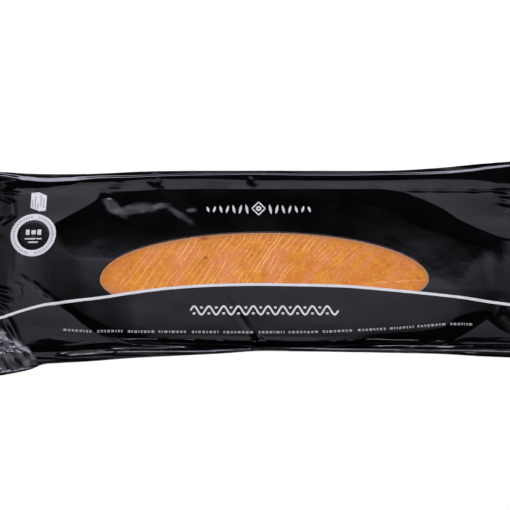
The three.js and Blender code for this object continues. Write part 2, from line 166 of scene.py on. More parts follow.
def bell(value: Array) -> Array:
    """Return 1 at 0 and fall away smoothly on both sides."""
    return np.exp(-(value * value))


@dataclass(frozen=True)
class Line:
    """A smooth y(x) through a few points, held level past its two ends."""

    points: tuple[Point, ...]

    def __call__(self, x: Array | float) -> Array:
        """Return y at each x.

        Args:
            x: places along the pack.

        Returns:
            The line's value there.
        """
        px, py = np.array(self.points, float).T
        last = len(px) - 1
        before = np.maximum(np.arange(last + 1) - 1, 0)
        after = np.minimum(np.arange(last + 1) + 1, last)
        slopes = (py[after] - py[before]) / (px[after] - px[before])
        held = np.clip(np.asarray(x, float), px[0], px[-1])
        k = np.clip(np.searchsorted(px, held, side="right") - 1, 0, last - 1)
        span = px[k + 1] - px[k]
        t = (held - px[k]) / span
        blend = py[k] + (py[k + 1] - py[k]) * t * t * (3 - 2 * t)
        return blend + slopes[k] * span * t * (1 - t) ** 2 - slopes[k + 1] * span * t * t * (1 - t)


def lattice(i: Array, j: Array, seed: float = 0.0) -> Array:
    """Repeatable value from 0 to 1 for each lattice point; large odd factors scatter a sine."""
    wave = np.sin(i * 12.9898 + j * 78.233 + seed * 37.719) * 437.585
    return wave - np.floor(wave)


def noise(x: Array, y: Array, seed: float = 0.0) -> Array:
    """Smooth noise from 0 to 1.

    Args:
        x: first coordinate, in lattice cells.
        y: second coordinate, in lattice cells.
        seed: picks another pattern.

    Returns:
        The noise at each place.
    """
    i, j = np.floor(x), np.floor(y)
    s, t = ease(x - i), ease(y - j)
    low = lattice(i, j, seed) * (1 - s) + lattice(i + 1, j, seed) * s
    high = lattice(i, j + 1, seed) * (1 - s) + lattice(i + 1, j + 1, seed) * s
    return low * (1 - t) + high * t


def ridges(x: Array, y: Array, seed: float = 0.0) -> Array:
    """Noise from 0 to 1 whose high lines are sharp."""
    return 1 - np.abs(2 * noise(x, y, seed) - 1)


def facets(x: Array, y: Array, size: float, folds: int, seed: float) -> Array:
    """Relief of crumpled film: flat facets that meet in straight creases.

    Args:
        x: place along the pack.
        y: place across the pack.
        size: distance between large creases.
        folds: how many fold directions are laid over each other.
        seed: picks another pattern.

    Returns:
        Relief from about 0 to 1.
    """
    bend, reach = 1.3, 2.3  # how far creases wander and over what length, in sizes
    golden_angle, finer = 2.399, 0.8  # between fold directions, and each one's pitch to the last
    warp_x = x + size * bend * (noise(x / size / reach, y / size / reach, seed + 5) - 0.5)
    warp_y = y + size * bend * (noise(x / size / reach, y / size / reach, seed + 9) - 0.5)
    total = np.zeros_like(x, dtype=float)
    weight = 0.0
    for k in range(folds):
        angle = golden_angle * k + 0.7 * seed + 0.35
        pitch = size * finer**k
        across = (warp_x * math.cos(angle) + warp_y * math.sin(angle)) / pitch + 0.37 * k
        total += finer**k * np.abs(2 * (across - np.floor(across)) - 1)
        weight += finer**k
    return total / weight


# ---------------------------------------------------------------- layers of relief


@dataclass(frozen=True)
class Swell:
    """Smooth random relief about 0: its full height and the length and width of its cells."""

    height: float
    along: float
    across: float
    seed: float

    def relief(self, x: Array, y: Array) -> Array:
        """Return the layer's height at each place."""
        return self.height * (noise(x / self.along, y / self.across, self.seed) - 0.5)


@dataclass(frozen=True)
class Wrinkles:
    """Sharp-crested random relief: height, length and width of its cells, and its thinness."""

    height: float
    along: float
    across: float
    seed: float
    thin: int = 1

    def relief(self, x: Array, y: Array) -> Array:
        """Return the layer's height at each place."""
        return self.height * ridges(x / self.along, y / self.across, self.seed) ** self.thin


@dataclass(frozen=True)
class Patches:
    """Soft random patches: length and width of cells, and the noise where they begin and fill."""

    along: float
    across: float
    seed: float
    start: float
    run: float

    def share(self, x: Array, y: Array) -> Array:
        """Return how much of a patch shows at each place, from 0 to 1."""
        return ease((noise(x / self.along, y / self.across, self.seed) - self.start) / self.run)


@dataclass(frozen=True)
class Crease:
    """A ridge (height above 0) or groove (below 0) in the film between two points."""

    name: str
    start: Point
    end: Point
    width: float
    height: float

    def relief(self, x: Array, y: Array) -> Array:
        """Work out the relief, which thins out towards both ends.

        Args:
            x: places along the pack.
            y: places across the pack.

        Returns:
            The crease's height at each place.
        """
        run = (self.end[0] - self.start[0], self.end[1] - self.start[1])
        away_x, away_y = x - self.start[0], y - self.start[1]
        t = clamp01((away_x * run[0] + away_y * run[1]) / (run[0] ** 2 + run[1] ** 2))
        away = np.hypot(away_x - t * run[0], away_y - t * run[1]) / self.width
        taper = 0.25 + 0.75 * np.sin(np.pi * clamp01(0.1 + 0.85 * t))
        return self.height * taper * bell(away)


@dataclass(frozen=True)
class Seam:
    """A long ridge or groove that follows a line along the pack."""

    name: str
    path: Line
    height: Line
    width: float

    def relief(self, x: Array, y: Array) -> Array:
        """Return the seam's height at each place."""
        return self.height(x) * bell((y - self.path(x)) / self.width)


@dataclass(frozen=True)
class Flat:
    """A patch where the film is pulled flat, so that it mirrors the light as one facet.

    It is an ellipse, turned by some degrees, with a soft ragged edge. Lift raises it, pull says how
    flat it is, and haze how whitish the film has gone there.
    """

    name: str
    centre: Point
    half: Point
    turn: float
    lift: float = 0.0
    soft: float = 0.95
    pull: float = 0.66
    haze: float = 0.0
    ragged: Swell = Swell(0.5, 7, 7, 21)

    def share(self, x: Array, y: Array) -> Array:
        """Work out where the patch shows.

        Args:
            x: places along the pack.
            y: places across the pack.

        Returns:
            How much of it shows at each place, from 0 to 1.
        """
        turn = math.radians(self.turn)
        along = (x - self.centre[0]) * math.cos(turn) + (y - self.centre[1]) * math.sin(turn)
        across = (y - self.centre[1]) * math.cos(turn) - (x - self.centre[0]) * math.sin(turn)
        away = np.hypot(along / self.half[0], across / self.half[1]) + self.ragged.relief(x, y)
        return self.pull * ease((1 + self.soft / 2 - away) / self.soft)


# ---------------------------------------------------------------- sizes of the pack


@dataclass(frozen=True)
class PackPlan:
    """Real sizes of the pack, in millimetres.

    A few lines hold no lengths. A share says how much of a rise is its steep part, front_wall and
    front_easing say which of three front slopes holds, and back_curve is the power that bends the
    back slope.
    """

    # The film, the board and how far the fish reaches along it.
    length: float = 620
    film: float = 0.9
    board_top: float = 3.6
    board_left: float = -268
    board_right: float = 284
    end_drop: float = 20
    band_slope: float = 0.1
    crown_y: float = -34
    crown_fall: float = 1.2

    # The end seals, and the crumpled film beside them.
    seal_width: float = 12
    seal_blend: float = 8
    seal_wave: float = 2.4
    seal_wave_pitch: float = 58
    rib_pitch: float = 3.6
    crumple_size: float = 17
    crumple_height: float = 1.5
    corner_lift: float = 7
    corner_lift_left: float = 200

    # The film's front edge, and how it rises from the table to the board.
    front_edge: Line = Line((
        (-310, -131), (-289, -131), (-270, -129), (-239, -122.5), (-226, -117), (-207, -115.3),
        (-176, -113.5), (-128, -109.7), (-80, -107.2), (-32, -104.6), (5, -102), (50, -102.6),
        (130, -103.8), (200, -105.5), (240, -108), (271, -109.3), (310, -111),
    ))
    front_foot: Line = Line((
        (-310, -104), (-230, -103.5), (-176, -102.5), (-100, -99.5), (0, -98.2), (90, -98.6),
        (150, -98.4), (240, -99.6), (310, -101),
    ))
    board_front: Line = Line((
        (-310, -98), (-250, -97), (-238, -94), (-226, -89), (-212, -88.8), (-192, -91.8),
        (-170, -91.3), (-150, -93.5), (-120, -96.2), (-60, -96.9), (90, -96.9), (130, -95.9),
        (170, -95.6), (205, -94.4), (225, -88.5), (250, -88.2), (310, -88),
    ))

    # The film's back edge, and how it comes down off the board.
    back_top: Line = Line((
        (-310, 80), (-285, 81.5), (-274, 83), (-263, 84), (-235, 84.5), (-224, 86.5),
        (-207, 88.6), (-196, 91), (-174, 92), (-140, 94.3), (-125, 95.8), (-90, 96.3), (-50, 96.3),
        (0, 94.6), (50, 94.3), (140, 94.3), (200, 95.6), (222, 95), (242, 94.5), (262, 92),
        (275, 89.5), (310, 88),
    ))
    back_step: Line = Line((
        (-310, 101.5), (-287, 100.1), (-270, 98.8), (-258.7, 97.6), (-236, 95.8), (-208, 96.6),
        (-174, 99.5), (-140, 100.3), (-95.7, 102.2), (-50.7, 103.2), (0, 103.7), (50.7, 102.8),
        (107, 102.8), (163, 103.8), (208.5, 105), (242.5, 108), (265, 111.5), (310, 117),
    ))
    back_step_width: Line = Line((
        (-310, 8), (-208, 7.4), (-180, 5), (-100, 3.2), (150, 3.2), (220, 5), (310, 5.4),
    ))
    back_step_share: Line = Line((
        (-310, 0.6), (-208, 0.6), (-150, 0.4), (150, 0.4), (200, 0.48), (240, 0.42), (310, 0.42),
    ))
    back_lift: Line = Line((
        (-310, 1.8), (-262, 1.7), (-240, 1.5), (-205, 0.7), (-170, 0), (190, 0), (225, 0.5),
        (250, 1.2), (272, 2.6), (310, 3.2),
    ))
    back_lift_start: float = 50
    back_lift_run: float = 30
    back_edge: Line = Line((
        (-310, 106.5), (-281, 106), (-250, 104), (-186, 104), (-118, 107.2), (0, 108),
        (150, 108), (203, 111), (254, 115.5), (310, 120.5),
    ))

    # The fish under the film: its height, its outline and the run of its back and front slopes.
    fish_height: Line = Line((
        (-268, 0), (-250, 1.7), (-226, 4.1), (-200, 7.0), (-170, 9.3), (-150, 10.7), (-125, 11.9),
        (-100, 12.5), (-60, 13), (40, 13.1), (120, 13), (165, 12.9), (182, 12.6), (204, 11.9),
        (226, 10.5), (248, 8.8), (262, 7.2), (280, 4), (296, 1.3), (310, 0),
    ))
    fish_back: Line = Line((
        (-264, -8), (-250, 13), (-235, 30), (-224, 41), (-209.6, 50.5), (-194.7, 59.8),
        (-176.3, 71.4), (-171, 80), (-151, 80.9), (-100.7, 83), (0, 83.3), (139.9, 83.3),
        (162, 80.9), (184, 72.4), (206, 61.6), (227, 46.5), (248.8, 35.5), (267, 27.5), (281, 24),
    ))
    back_run: Line = Line((
        (-264, -8), (-250, 13), (-224, 39), (-195, 57), (-165, 72.5), (-130, 80.5), (-100, 83),
        (0, 83.3), (140, 83.3), (165, 79), (184, 72), (206, 61.6), (227, 47), (249, 36), (267, 29),
        (281, 26),
    ))
    crown_back: Line = Line(((-264, -2), (-150, -4), (-90, -20), (90, -20), (150, -36), (282, -36)))
    back_curve: Line = Line(((-264, 1.12), (-90, 1.15), (90, 1.15), (150, 1.04), (282, 1.04)))
    back_band: Line = Line((
        (-264, 8), (-224, 12), (-195, 20), (-167, 20), (-100, 12), (0, 11), (110, 14), (150, 28),
        (182, 38), (204, 34), (226, 28), (248, 22), (261, 18), (266, 12), (272, 3), (310, 1),
    ))
    fish_front: Line = Line((
        (-264, -16), (-251, -22), (-237, -30.5), (-226.7, -39), (-206, -55.5), (-197, -61.5),
        (-188, -69.5), (-178, -77), (-166, -84), (-155, -89), (-140, -94), (-120, -96.5),
        (-60, -98), (0, -99), (80, -99), (130, -96.8), (190, -96.5), (203, -96), (219.6, -86.5),
        (230.7, -79.7), (242, -72), (250, -68), (262, -78), (282, -90),
    ))
    front_round: Line = Line(((-264, 4), (-90, 4), (48, 3.5), (150, 4), (282, 4)))
    front_share: Line = Line((
        (-264, 0.02), (-222, 0.02), (-212, 0.2), (-204, 0.38), (-190, 0.48), (-176, 0.56),
        (-160, 0.64), (-140, 0.84), (-120, 1), (215, 1), (232, 0.75), (246, 0.48), (256, 0.24),
        (266, 0.05), (274, 0),
    ))
    front_easing: Line = Line(((-140, 1), (-108, 0), (108, 0), (145, 1)))
    front_run: Line = Line((
        (-264, 5), (-214, 5), (-204, 6), (-190, 7.5), (-176, 9), (-160, 9.5), (-100, 9), (100, 8),
        (140, 9), (165, 10), (182, 12), (204, 17), (215, 20), (231, 16), (242, 11), (250, 8),
        (282, 8),
    ))
    front_wall: Line = Line((
        (-185, 0), (-170, 0.2), (-160, 0.4), (-140, 0.7), (100, 0.7), (125, 0.86), (150, 0.78),
        (182, 0.64), (204, 0.5), (215, 0.45), (240, 0.2),
    ))
    front_wall_width: float = 2.4
    front_reach: Line = Line((
        (-264, 90), (-222, 80), (-204, 64), (-190, 64), (-170, 78), (-150, 80), (-130, 60),
        (210, 60), (254, 80), (282, 100),
    ))

    # The front left corner, folded up into a bundle.
    bundle_back: Line = Line((
        (-310, -57), (-290, -65), (-272.6, -76.8), (-261, -86), (-250, -92.5), (-242.5, -97),
        (-236, -105.5), (-228, -111),
    ))
    bundle_height: Line = Line(((-310, 12), (-270, 10.5), (-248, 8), (-236, 5), (-228, 0)))
    bundle_round: float = 22

    # The clear window and the pale band that cuts it off.
    window_centre: Point = (10, -25.5)
    window_half_length: float = 178
    window_rise: float = 54.6
    window_drop: float = 44
    band_width: float = 2.7
    band_line: Line = Line((
        (-310, -73), (-272.7, -66), (-264.3, -63), (-246.5, -57), (-225.4, -51.5), (-198.8, -49),
        (-166.7, -46.3), (-134, -42.2), (-91, -37), (-48, -34.2), (0, -33), (48, -33.6),
        (72, -34.1), (102, -35.3), (132, -38), (155, -40.2), (199, -44.6), (231, -47.8),
        (252, -49.8), (268, -51.5), (310, -56),
    ))

    # Flat patches, creases and long wrinkles in the film.
    flats: tuple[Flat, ...] = (
        Flat("long terrace", (-131, 59), (22, 6), 6, 0.0, 0.7, 0.4, 0.17),
        Flat("terrace's left end", (-156, 60), (15, 5.5), -42, 0.0, 0.7, 0.2, 0.15),
        Flat("small terrace", (-105, 62.5), (11, 3.4), 6, 0.1, 0.7, 0.4, 0.2),
        Flat("slanting ridge", (-83, 51), (16, 3.2), -38, 0.0, 0.95, 0.3, 0.13),
        Flat("short ridge", (-69.8, 57), (5, 2.2), 0, 0.0, 0.95, 0.3, 0.18),
        Flat("left pucker's facet", (-107, 93.5), (5, 1.8), -5, 0.3),
    )
    creases: tuple[Crease, ...] = (
        Crease("centre crease", (-29, -50), (-15, -70), 2.0, -0.24),
        Crease("centre crease's end", (-17, -66), (-5, -86), 3.2, -0.5),
        Crease("front notch", (-2, -92), (1, -99), 3, -2.6),
        Crease("front notch's rim", (4, -91), (9, -97), 2, 0.7),
        Crease("front right pucker", (166, -95), (168, -101), 3, -1.4),
        Crease("back left pucker", (-112, 99), (-106, 90), 5, -1.3),
        Crease("back left pucker's side", (-120, 97), (-114, 91), 2.5, -0.7),
        Crease("back middle pucker", (-8, 99), (-2, 92), 3.6, -1.0),
        Crease("tip of the back fold", (-171, 81), (-160, 76), 3, -0.4),
        Crease("margin lens", (-164, 87), (-150, 87), 1.3, -0.35),
        Crease("upper margin lens", (-158, 91.3), (-143, 91.3), 1.5, 0.3),
        Crease("first left dash", (-256, -18.5), (-246, -25.4), 1.7, -0.45),
        Crease("second left dash", (-241.6, -26.5), (-232.4, -34.5), 2.1, -0.6),
        Crease("third left dash", (-231.2, -35.7), (-222.1, -42.5), 2.5, -0.75),
        Crease("short left dash", (-261, -27.7), (-253.3, -30), 1.4, -0.35),
        Crease("left loop's start", (-255.3, -32.2), (-252.6, -40.2), 1.2, -0.3),
        Crease("left loop's end", (-252.6, -40.2), (-259.7, -48.2), 1.2, -0.3),
        Crease("left end arc's top", (-280, 73), (-269, 67), 2.2, -0.9),
        Crease("left end arc's side", (-269, 67), (-267, 53), 2.2, -0.9),
        Crease("left end arc's foot", (-267, 53), (-279, 44), 2.2, -0.9),
        Crease("left end fold", (-280, -32), (-266, -36), 2.2, -0.9),
        Crease("second left end fold", (-280, -41), (-263, -48), 2.2, -1.0),
        Crease("third left end fold", (-278, -49), (-266, -58), 2.2, -0.8),
        Crease("left corner fold", (-266, -66), (-253, -91), 2.6, -1.0),
        Crease("left corner ridge", (-271, -70), (-259, -92), 2.4, 0.9),
        Crease("upper left fold", (-283, 81), (-264, 78), 2.0, 0.7),
        Crease("left board ridge", (-262, 40), (-261, -20), 5, 0.5),
        Crease("label ridge", (-241, 84), (-240, 52), 4, 0.5),
        Crease("right front ridge", (267, -49), (259, -66), 2.4, 0.35),
        Crease("right front ridge's branch", (267, -49), (276, -62), 2.2, 0.25),
        Crease("right end's first fold", (269, 81), (284, 79), 3.4, -1.0),
        Crease("right end's second fold", (271, 73), (285, 70), 3.6, -1.0),
        Crease("right end's third fold", (272, 64), (284, 60), 3.6, -0.8),
        Crease("right front crease", (269, -64), (283, -75), 2.2, -1.0),
        Crease("back margin bulge", (241, 81.8), (248, 80.8), 1.8, -0.35),
    )
    seams: tuple[Seam, ...] = (
        Seam(
            "left end's back hem",
            Line(((-310, 100.5), (-287, 99.3), (-262, 97.5))),
            Line(((-310, 1.7), (-276, 1.5), (-262, 0))),
            3.4,
        ),
        Seam(
            "margin groove",
            Line(((160, 83.4), (168, 82.7), (207, 82.1), (249.5, 81.5), (285, 82.1), (310, 83))),
            Line(((160, 0), (172, -0.16), (180, -0.38), (196, -0.14), (207, -0.4), (228, -0.2),
                  (240, -0.42), (262, -0.36), (280, -0.45), (310, -0.4))),
            1.15,
        ),
        Seam(
            "upper hem wrinkle",
            Line(((-214, -98.6), (-187, -96.5), (-160, -94.3), (-150, -94))),
            Line(((-214, 0), (-200, 0.5), (-170, 0.6), (-150, 0))),
            1.3,
        ),
        Seam(
            "long hem wrinkle",
            Line(((-214, -106.6), (-200, -106), (-187, -104.9), (-176, -104.3), (-165, -103.3),
                  (-150, -102.9))),
            Line(((-214, 0), (-202, 1.5), (-190, 2.1), (-176, 2.0), (-165, 1.4), (-150, 0))),
            1.7,
        ),
        Seam(
            "left hem wrinkle",
            Line(((-165, -99.5), (-122, -99.3), (-66, -99.2))),
            Line(((-165, 0), (-150, 0.8), (-80, 0.8), (-66, 0))),
            0.9,
        ),
        Seam(
            "left flange wrinkle",
            Line(((-176, -103.6), (-144, -102.7), (-100, -102.4), (-60, -102.2), (-37, -101.1),
                  (-16, -100.2), (0, -99.3))),
            Line(((-176, 0), (-160, 1.15), (-115, 1.15), (-50, 1.2), (-8, 1.1), (0, 0))),
            1.1,
        ),
        Seam(
            "right flange wrinkle",
            Line(((8, -98.4), (14, -98), (48, -98.8), (101, -99.8), (170, -100.6), (240, -101.8),
                  (282, -103.2))),
            Line(((8, 0), (20, 1.1), (100, 1.15), (160, 1.25), (240, 1.35), (270, 1.3),
                  (284, 0.3))),
            1.0,
        ),
        Seam(
            "right hem wrinkle",
            Line(((205, -96.5), (240, -96), (310, -97))),
            Line(((205, 0), (228, 0.7), (240, 0.7), (290, 1.0), (310, 0.8))),
            1.6,
        ),
        Seam(
            "right hem edge",
            Line(((176, -103.6), (230, -105.3), (310, -107))),
            Line(((176, 0), (210, 0.8), (250, 0.5), (310, 0.9))),
            1.2,
        ),
    )


@dataclass(frozen=True)
class FilmSurface:
    """Heights of the film over the table, the board and the fish, with its fine relief.

    The powers bend each slope, as taut says. The edge widths say over what distance the relief dies
    out at the film's cut edges. Fold_run is the direction of the folded corner's pleats, as a
    cosine and a sine, and they are longer than wide by their stretch. Each rim width says how far
    from the corner's back rim something grows stronger: the pleats, and the whitening, which is
    strain whitening with painted highlights on the facets.
    """

    plan: PackPlan
    back_power: float = 1.25
    front_power: float = 1.3
    sharp_power: float = 1.3
    slope_power: float = 1.15
    wall_power: float = 1.12
    ramp_power: float = 1.2
    band_power: float = 1.12
    swells: tuple[Swell, ...] = (
        Swell(0.36, 46, 27, 3), Swell(0.16, 17, 13, 4), Swell(0.03, 5, 5, 5),
    )
    hem_height: float = 0.4
    hem_size: Point = (60, 3.6)
    specks: Wrinkles = Wrinkles(0.22, 11, 4.5, 12, 3)
    gathers: Wrinkles = Wrinkles(0.22, 9, 30, 8)
    rib_height: float = 0.16
    crumple_sway: tuple[Swell, Swell] = (Swell(9, 21, 21, 31), Swell(9, 21, 21, 32))
    small_crumple: float = 0.55
    small_crumple_size: float = 11
    front_edge_width: float = 2.5
    back_edge_width: float = 5
    thinnest: float = 0.6
    bundle_power: float = 1.25
    lowest_fold: float = 0.4
    fold_run: Point = (0.8, 0.6)
    fold_size: float = 24
    fold_height: float = 5
    pleat_size: float = 8
    pleat_stretch: float = 1.5
    pleat_height: float = 2.0
    rim_pleat_height: float = 1.6
    pleat_rim: float = 20
    # strain whitening and painted facet highlights on the folded corner; rim_white_share adds
    # painted highlight towards the back rim
    white_size: float = 11
    white_stretch: float = 1.9
    white_rim: float = 18
    white_share: float = 0.24
    rim_white_share: float = 1.3
    pleat_marks: Wrinkles = Wrinkles(0.25, 12, 4, 62, 5)

    def back_foot(self, x: Array) -> Array:
        """Return where the film meets the table behind the board."""
        return self.plan.back_step(x) + 0.5 * self.plan.back_step_width(x)

    def board_cover(self, x: Array, y: Array) -> Array:
        """Work out where the film is raised by the board.

        Args:
            x: places along the pack.
            y: places across the pack.

        Returns:
            1 over the board and 0 where the film lies on the table.
        """
        p = self.plan
        foot = self.back_foot(x)
        step = ease((foot - y) / p.back_step_width(x))
        ramp = taut((foot - y) / (foot - p.back_top(x)), self.back_power)
        lift = p.back_lift(x) / (p.board_top - p.film)
        share = p.back_step_share(x) / (1 + lift)
        raised = 1 + lift * ease((y - p.back_lift_start) / p.back_lift_run)
        back = (share * step + (1 - share) * ramp) * raised
        run = p.board_front(x) - p.front_foot(x)
        front = taut((y - p.front_foot(x)) / run, self.front_power)
        left = ease((x - p.board_left + p.end_drop) / p.end_drop)
        right = ease((p.board_right + p.end_drop - x) / p.end_drop)
        return back * front * left * right

    def fish_rise(self, x: Array, y: Array) -> Array:
        """Work out how the fish lifts the film.

        Args:
            x: places along the pack.
            y: places across the pack.

        Returns:
            The film's height above the board.
        """
        p = self.plan
        height = np.maximum(p.fish_height(x), 1e-3)
        inward = y - p.fish_front(x)
        sharp = taut(inward / p.front_round(x), self.sharp_power)
        slope = taut(inward / p.front_run(x), self.slope_power)
        wall = taut(inward / p.front_wall_width, self.wall_power)
        eased = slope + (wall - slope) * p.front_wall(x)
        step = sharp + (eased - sharp) * p.front_easing(x)
        ramp = taut(inward / p.front_reach(x), self.ramp_power)
        share = p.front_share(x)
        from_front = share * step + (1 - share) * ramp
        depth = p.fish_back(x) - y
        band = p.back_band(x)
        edge = np.minimum(p.band_slope * band / self.band_power, 0.9 * height) / height
        steep = taut(depth / band, self.band_power)
        reach = np.maximum(p.back_run(x) - p.crown_back(x), 8)
        gentle = taut((p.back_run(x) - y) / reach, p.back_curve(x))
        from_back = edge * steep + (1 - edge) * gentle * ease(depth / 4 + 0.5)
        fall = p.crown_fall * clamp01((p.crown_y - y) / (p.crown_y - p.board_front(x))) ** 2
        return np.maximum(height - fall, 0) * from_front * from_back

    def end_crumple(self, x: Array) -> Array:
        """Work out where the film is crumpled: past the board, but not on the end seals.

        Args:
            x: places along the pack.

        Returns:
            How much of the crumple shows, from 0 to 1.
        """
        p = self.plan
        past_left = ease((p.board_left - x) / p.end_drop)
        past_right = ease((x - p.board_right) / p.end_drop)
        seal = p.length / 2 - p.seal_width + p.seal_blend / 2
        return np.maximum(past_left, past_right) * ease((seal - np.abs(x)) / p.seal_blend)

    def along_folds(self, x: Array, y: Array) -> tuple[Array, Array]:
        """Return places along and across the folded corner's pleats."""
        cos, sin = self.fold_run
        return cos * x - sin * y, sin * x + cos * y

    def bundle_rim(self, x: Array, y: Array, width: float) -> Array:
        """Return 1 at the folded corner's back rim, fading to 0 within the width."""
        return ease(1 - (self.plan.bundle_back(x) - y) / width)

    def bundle_rise(self, x: Array, y: Array) -> Array:
        """Work out the folded, crumpled corner.

        Args:
            x: places along the pack.
            y: places across the pack.

        Returns:
            Its height at each place, and 0 beside it.
        """
        p = self.plan
        height = p.bundle_height(x)
        back = taut((p.bundle_back(x) - y) / p.bundle_round, self.bundle_power)
        uneven = 0.6 + 0.9 * noise(x / 8, y / 40, 51)
        front = shoulder((y - p.front_edge(x)) / (p.bundle_round * uneven))
        folds = facets(x, y, self.fold_size, 3, seed=2) - 0.5
        along, across = self.along_folds(x, y)
        pleats = facets(along / self.pleat_stretch, across, self.pleat_size, 4, seed=4) - 0.5
        rim = self.bundle_rim(x, y, self.pleat_rim)
        pleats = (self.pleat_height + self.rim_pleat_height * rim) * pleats
        rise = np.maximum(height + self.fold_height * folds + pleats, self.lowest_fold)
        return np.where(height > 0.01, rise * back * front, 0)

    def whitening_and_highlight(self, x: Array, y: Array) -> Array:
        """Work out how whitish the film is made: strain whitening with painted highlights
        on the folded corner, and haze on the flat patches.

        Args:
            x: places along the pack.
            y: places across the pack.

        Returns:
            Share of white at each place.
        """
        folded = ease(self.bundle_rise(x, y) / 3)
        along, across = self.along_folds(x, y)
        pleats = facets(along / self.white_stretch, across, self.white_size, 3, seed=6)
        patches = ease((pleats - 0.47) / 0.08)
        patches = patches * (0.2 + 1.2 * noise(along / 11, across / 5, 61) ** 1.4)
        # painted highlight: the facets grow brightest towards the corner's back rim
        rim = self.bundle_rim(x, y, self.white_rim)
        patches = (self.white_share + self.rim_white_share * rim) * patches
        bloom = sum(flat.haze * flat.share(x, y) / flat.pull for flat in self.plan.flats)
        bloom = bloom * (0.6 + 0.8 * noise(x / 5, y / 4, 63))
        shown = 0.02 + patches + self.pleat_marks.relief(along, across)
        return np.maximum(folded * clamp01(shown), bloom)

    def fine_relief(self, x: Array, y: Array) -> Array:
        """Work out the shallow relief that vacuum leaves in the film.

        Args:
            x: places along the pack.
            y: places across the pack.

        Returns:
            Its height at each place.
        """
        p = self.plan
        swell = sum(layer.relief(x, y) for layer in self.swells)
        hem_zone = ease((p.board_front(x) + 1 - y) / 5) * ease((y - p.front_edge(x) - 1.2) / 2)
        length, width = self.hem_size
        hem = ridges(x / length, y / width + 0.8 * noise(x / 45, y / 50, 6), 7)
        hem = self.hem_height * hem**2 + self.specks.relief(x, y)
        back_zone = ease((y - p.back_top(x) + 3) / 4) * ease((p.back_edge(x) - y) / 6)
        seal = ease((np.abs(x) - p.length / 2 + p.seal_width) / 2)
        ribs = self.rib_height * np.sin(2 * np.pi * x / p.rib_pitch) * seal
        return swell + hem * hem_zone + self.gathers.relief(x, y) * back_zone + ribs

    def underside(self, x: Array, y: Array) -> Array:
        """Work out the film's underside, which lifts a little at the ends.

        Args:
            x: places along the pack.
            y: places across the pack.

        Returns:
            Heights above the table.
        """
        p = self.plan
        reach = p.length / 2 - p.corner_lift_left
        corner = ease((x - p.corner_lift_left) / reach) * ease((y - self.back_foot(x) + 1) / 8)
        seal = ease((np.abs(x) - p.length / 2 + p.seal_width + 6) / p.seal_width)
        wave = 0.5 + 0.5 * np.sin(2 * np.pi * y / p.seal_wave_pitch + 0.8)
        return p.corner_lift * corner + p.seal_wave * seal * wave

    def smooth_top(self, x: Array, y: Array) -> Array:
        """Work out the film's upper face without its folds.

        Args:
            x: places along the pack.
            y: places across the pack.

        Returns:
            Heights above the table.
        """
        p = self.plan
        board = (p.board_top - p.film) * self.board_cover(x, y)
        return self.underside(x, y) + p.film + board + self.fish_rise(x, y)

    def top(self, x: Array, y: Array) -> Array:
        """Return the height of the film's upper face.

        Args:
            x: places along the pack.
            y: places across the pack.

        Returns:
            Heights above the table.
        """
        p = self.plan
        film = self.smooth_top(x, y)
        for flat in p.flats:
            at = np.array([flat.centre[0]]), np.array([flat.centre[1]])
            level = self.smooth_top(*at)[0] + flat.lift
            film = film + (level - film) * flat.share(x, y)
        wave_x = x + self.crumple_sway[0].relief(x, y)
        wave_y = y + self.crumple_sway[1].relief(x, y)
        large = noise(wave_x / p.crumple_size, wave_y / p.crumple_size)
        size = self.small_crumple_size
        small = ridges(wave_x / size + 3.3, wave_y / size, 2)
        crumple = p.crumple_height * large + self.small_crumple * small**2
        relief = sum(crease.relief(x, y) for crease in p.creases)
        relief = relief + sum(seam.relief(x, y) for seam in p.seams)
        relief = relief + self.fine_relief(x, y) + crumple * self.end_crumple(x)
        at_front = ease((y - p.front_edge(x)) / self.front_edge_width)
        at_back = ease((p.back_edge(x) - y) / self.back_edge_width)
        film = film + relief * (at_front * at_back)
        folded = p.film + self.bundle_rise(x, y)
        return np.maximum.reduce([film, folded, self.underside(x, y) + self.thinnest * p.film])


# ---------------------------------------------------------------- meshes


def spread(stops: Sequence[float], counts: Sequence[int]) -> Array:
    """Return places between stops, evenly spread in each stretch.

    Args:
        stops: ends of the stretches.
        counts: number of steps in each stretch.

    Returns:
        All the places, ends included.
    """
    parts = [np.linspace(a, b, n + 1)[:-1] for a, b, n in zip(stops, stops[1:], counts)]
    return np.concatenate(parts + [np.array([stops[-1]])])


def across_rows(x: Array, rows: int) -> Array:
    """Repeat each column's place for all of its rows."""
    return np.repeat(x[:, None], rows, axis=1)


def quads(a: Array, b: Array, c: Array, d: Array) -> list:
    """Join four arrays of vertex numbers into faces."""
    return np.stack([a, b, c, d], axis=-1).reshape(-1, 4).tolist()


def sheet_part(x: Array, y: Array, top: Array, under: Array) -> Body:
    """Make a closed body from a grid's upper face and a coarser lower face.

    Args:
        x: place of each grid point along the pack, columns first, in millimetres.
        y: place of each grid point across the pack.
        top: height of each grid point.
        under: lower heights, for every so many rows of the grid.

    Returns:
        Its points, in metres, and its faces.
    """
    columns, rows = top.shape
    skip = (rows - 1) // (under.shape[1] - 1)
    upper = np.stack([x, y, top], axis=-1)
    lower = np.stack([x[:, ::skip], y[:, ::skip], under], axis=-1)
    low_rows = lower.shape[1]
    points = np.concatenate([upper.reshape(-1, 3), lower.reshape(-1, 3)]) * MM
    a = np.arange(columns * rows).reshape(columns, rows)
    b = columns * rows + np.arange(columns * low_rows).reshape(columns, low_rows)
    faces = quads(a[:-1, :-1], a[1:, :-1], a[1:, 1:], a[:-1, 1:])
    faces += quads(b[:-1, :-1], b[:-1, 1:], b[1:, 1:], b[1:, :-1])
    for j in range(low_rows - 1):
        run = slice(j * skip, (j + 1) * skip + 1)
        faces.append([b[0, j + 1], b[0, j], *a[0, run]])
        faces.append([b[-1, j], b[-1, j + 1], *a[-1, run][::-1]])
    faces += quads(b[:-1, 0], b[1:, 0], a[1:, 0], a[:-1, 0])
    faces += quads(b[1:, -1], b[:-1, -1], a[:-1, -1], a[1:, -1])
    return points, [[int(v) for v in f] for f in faces]


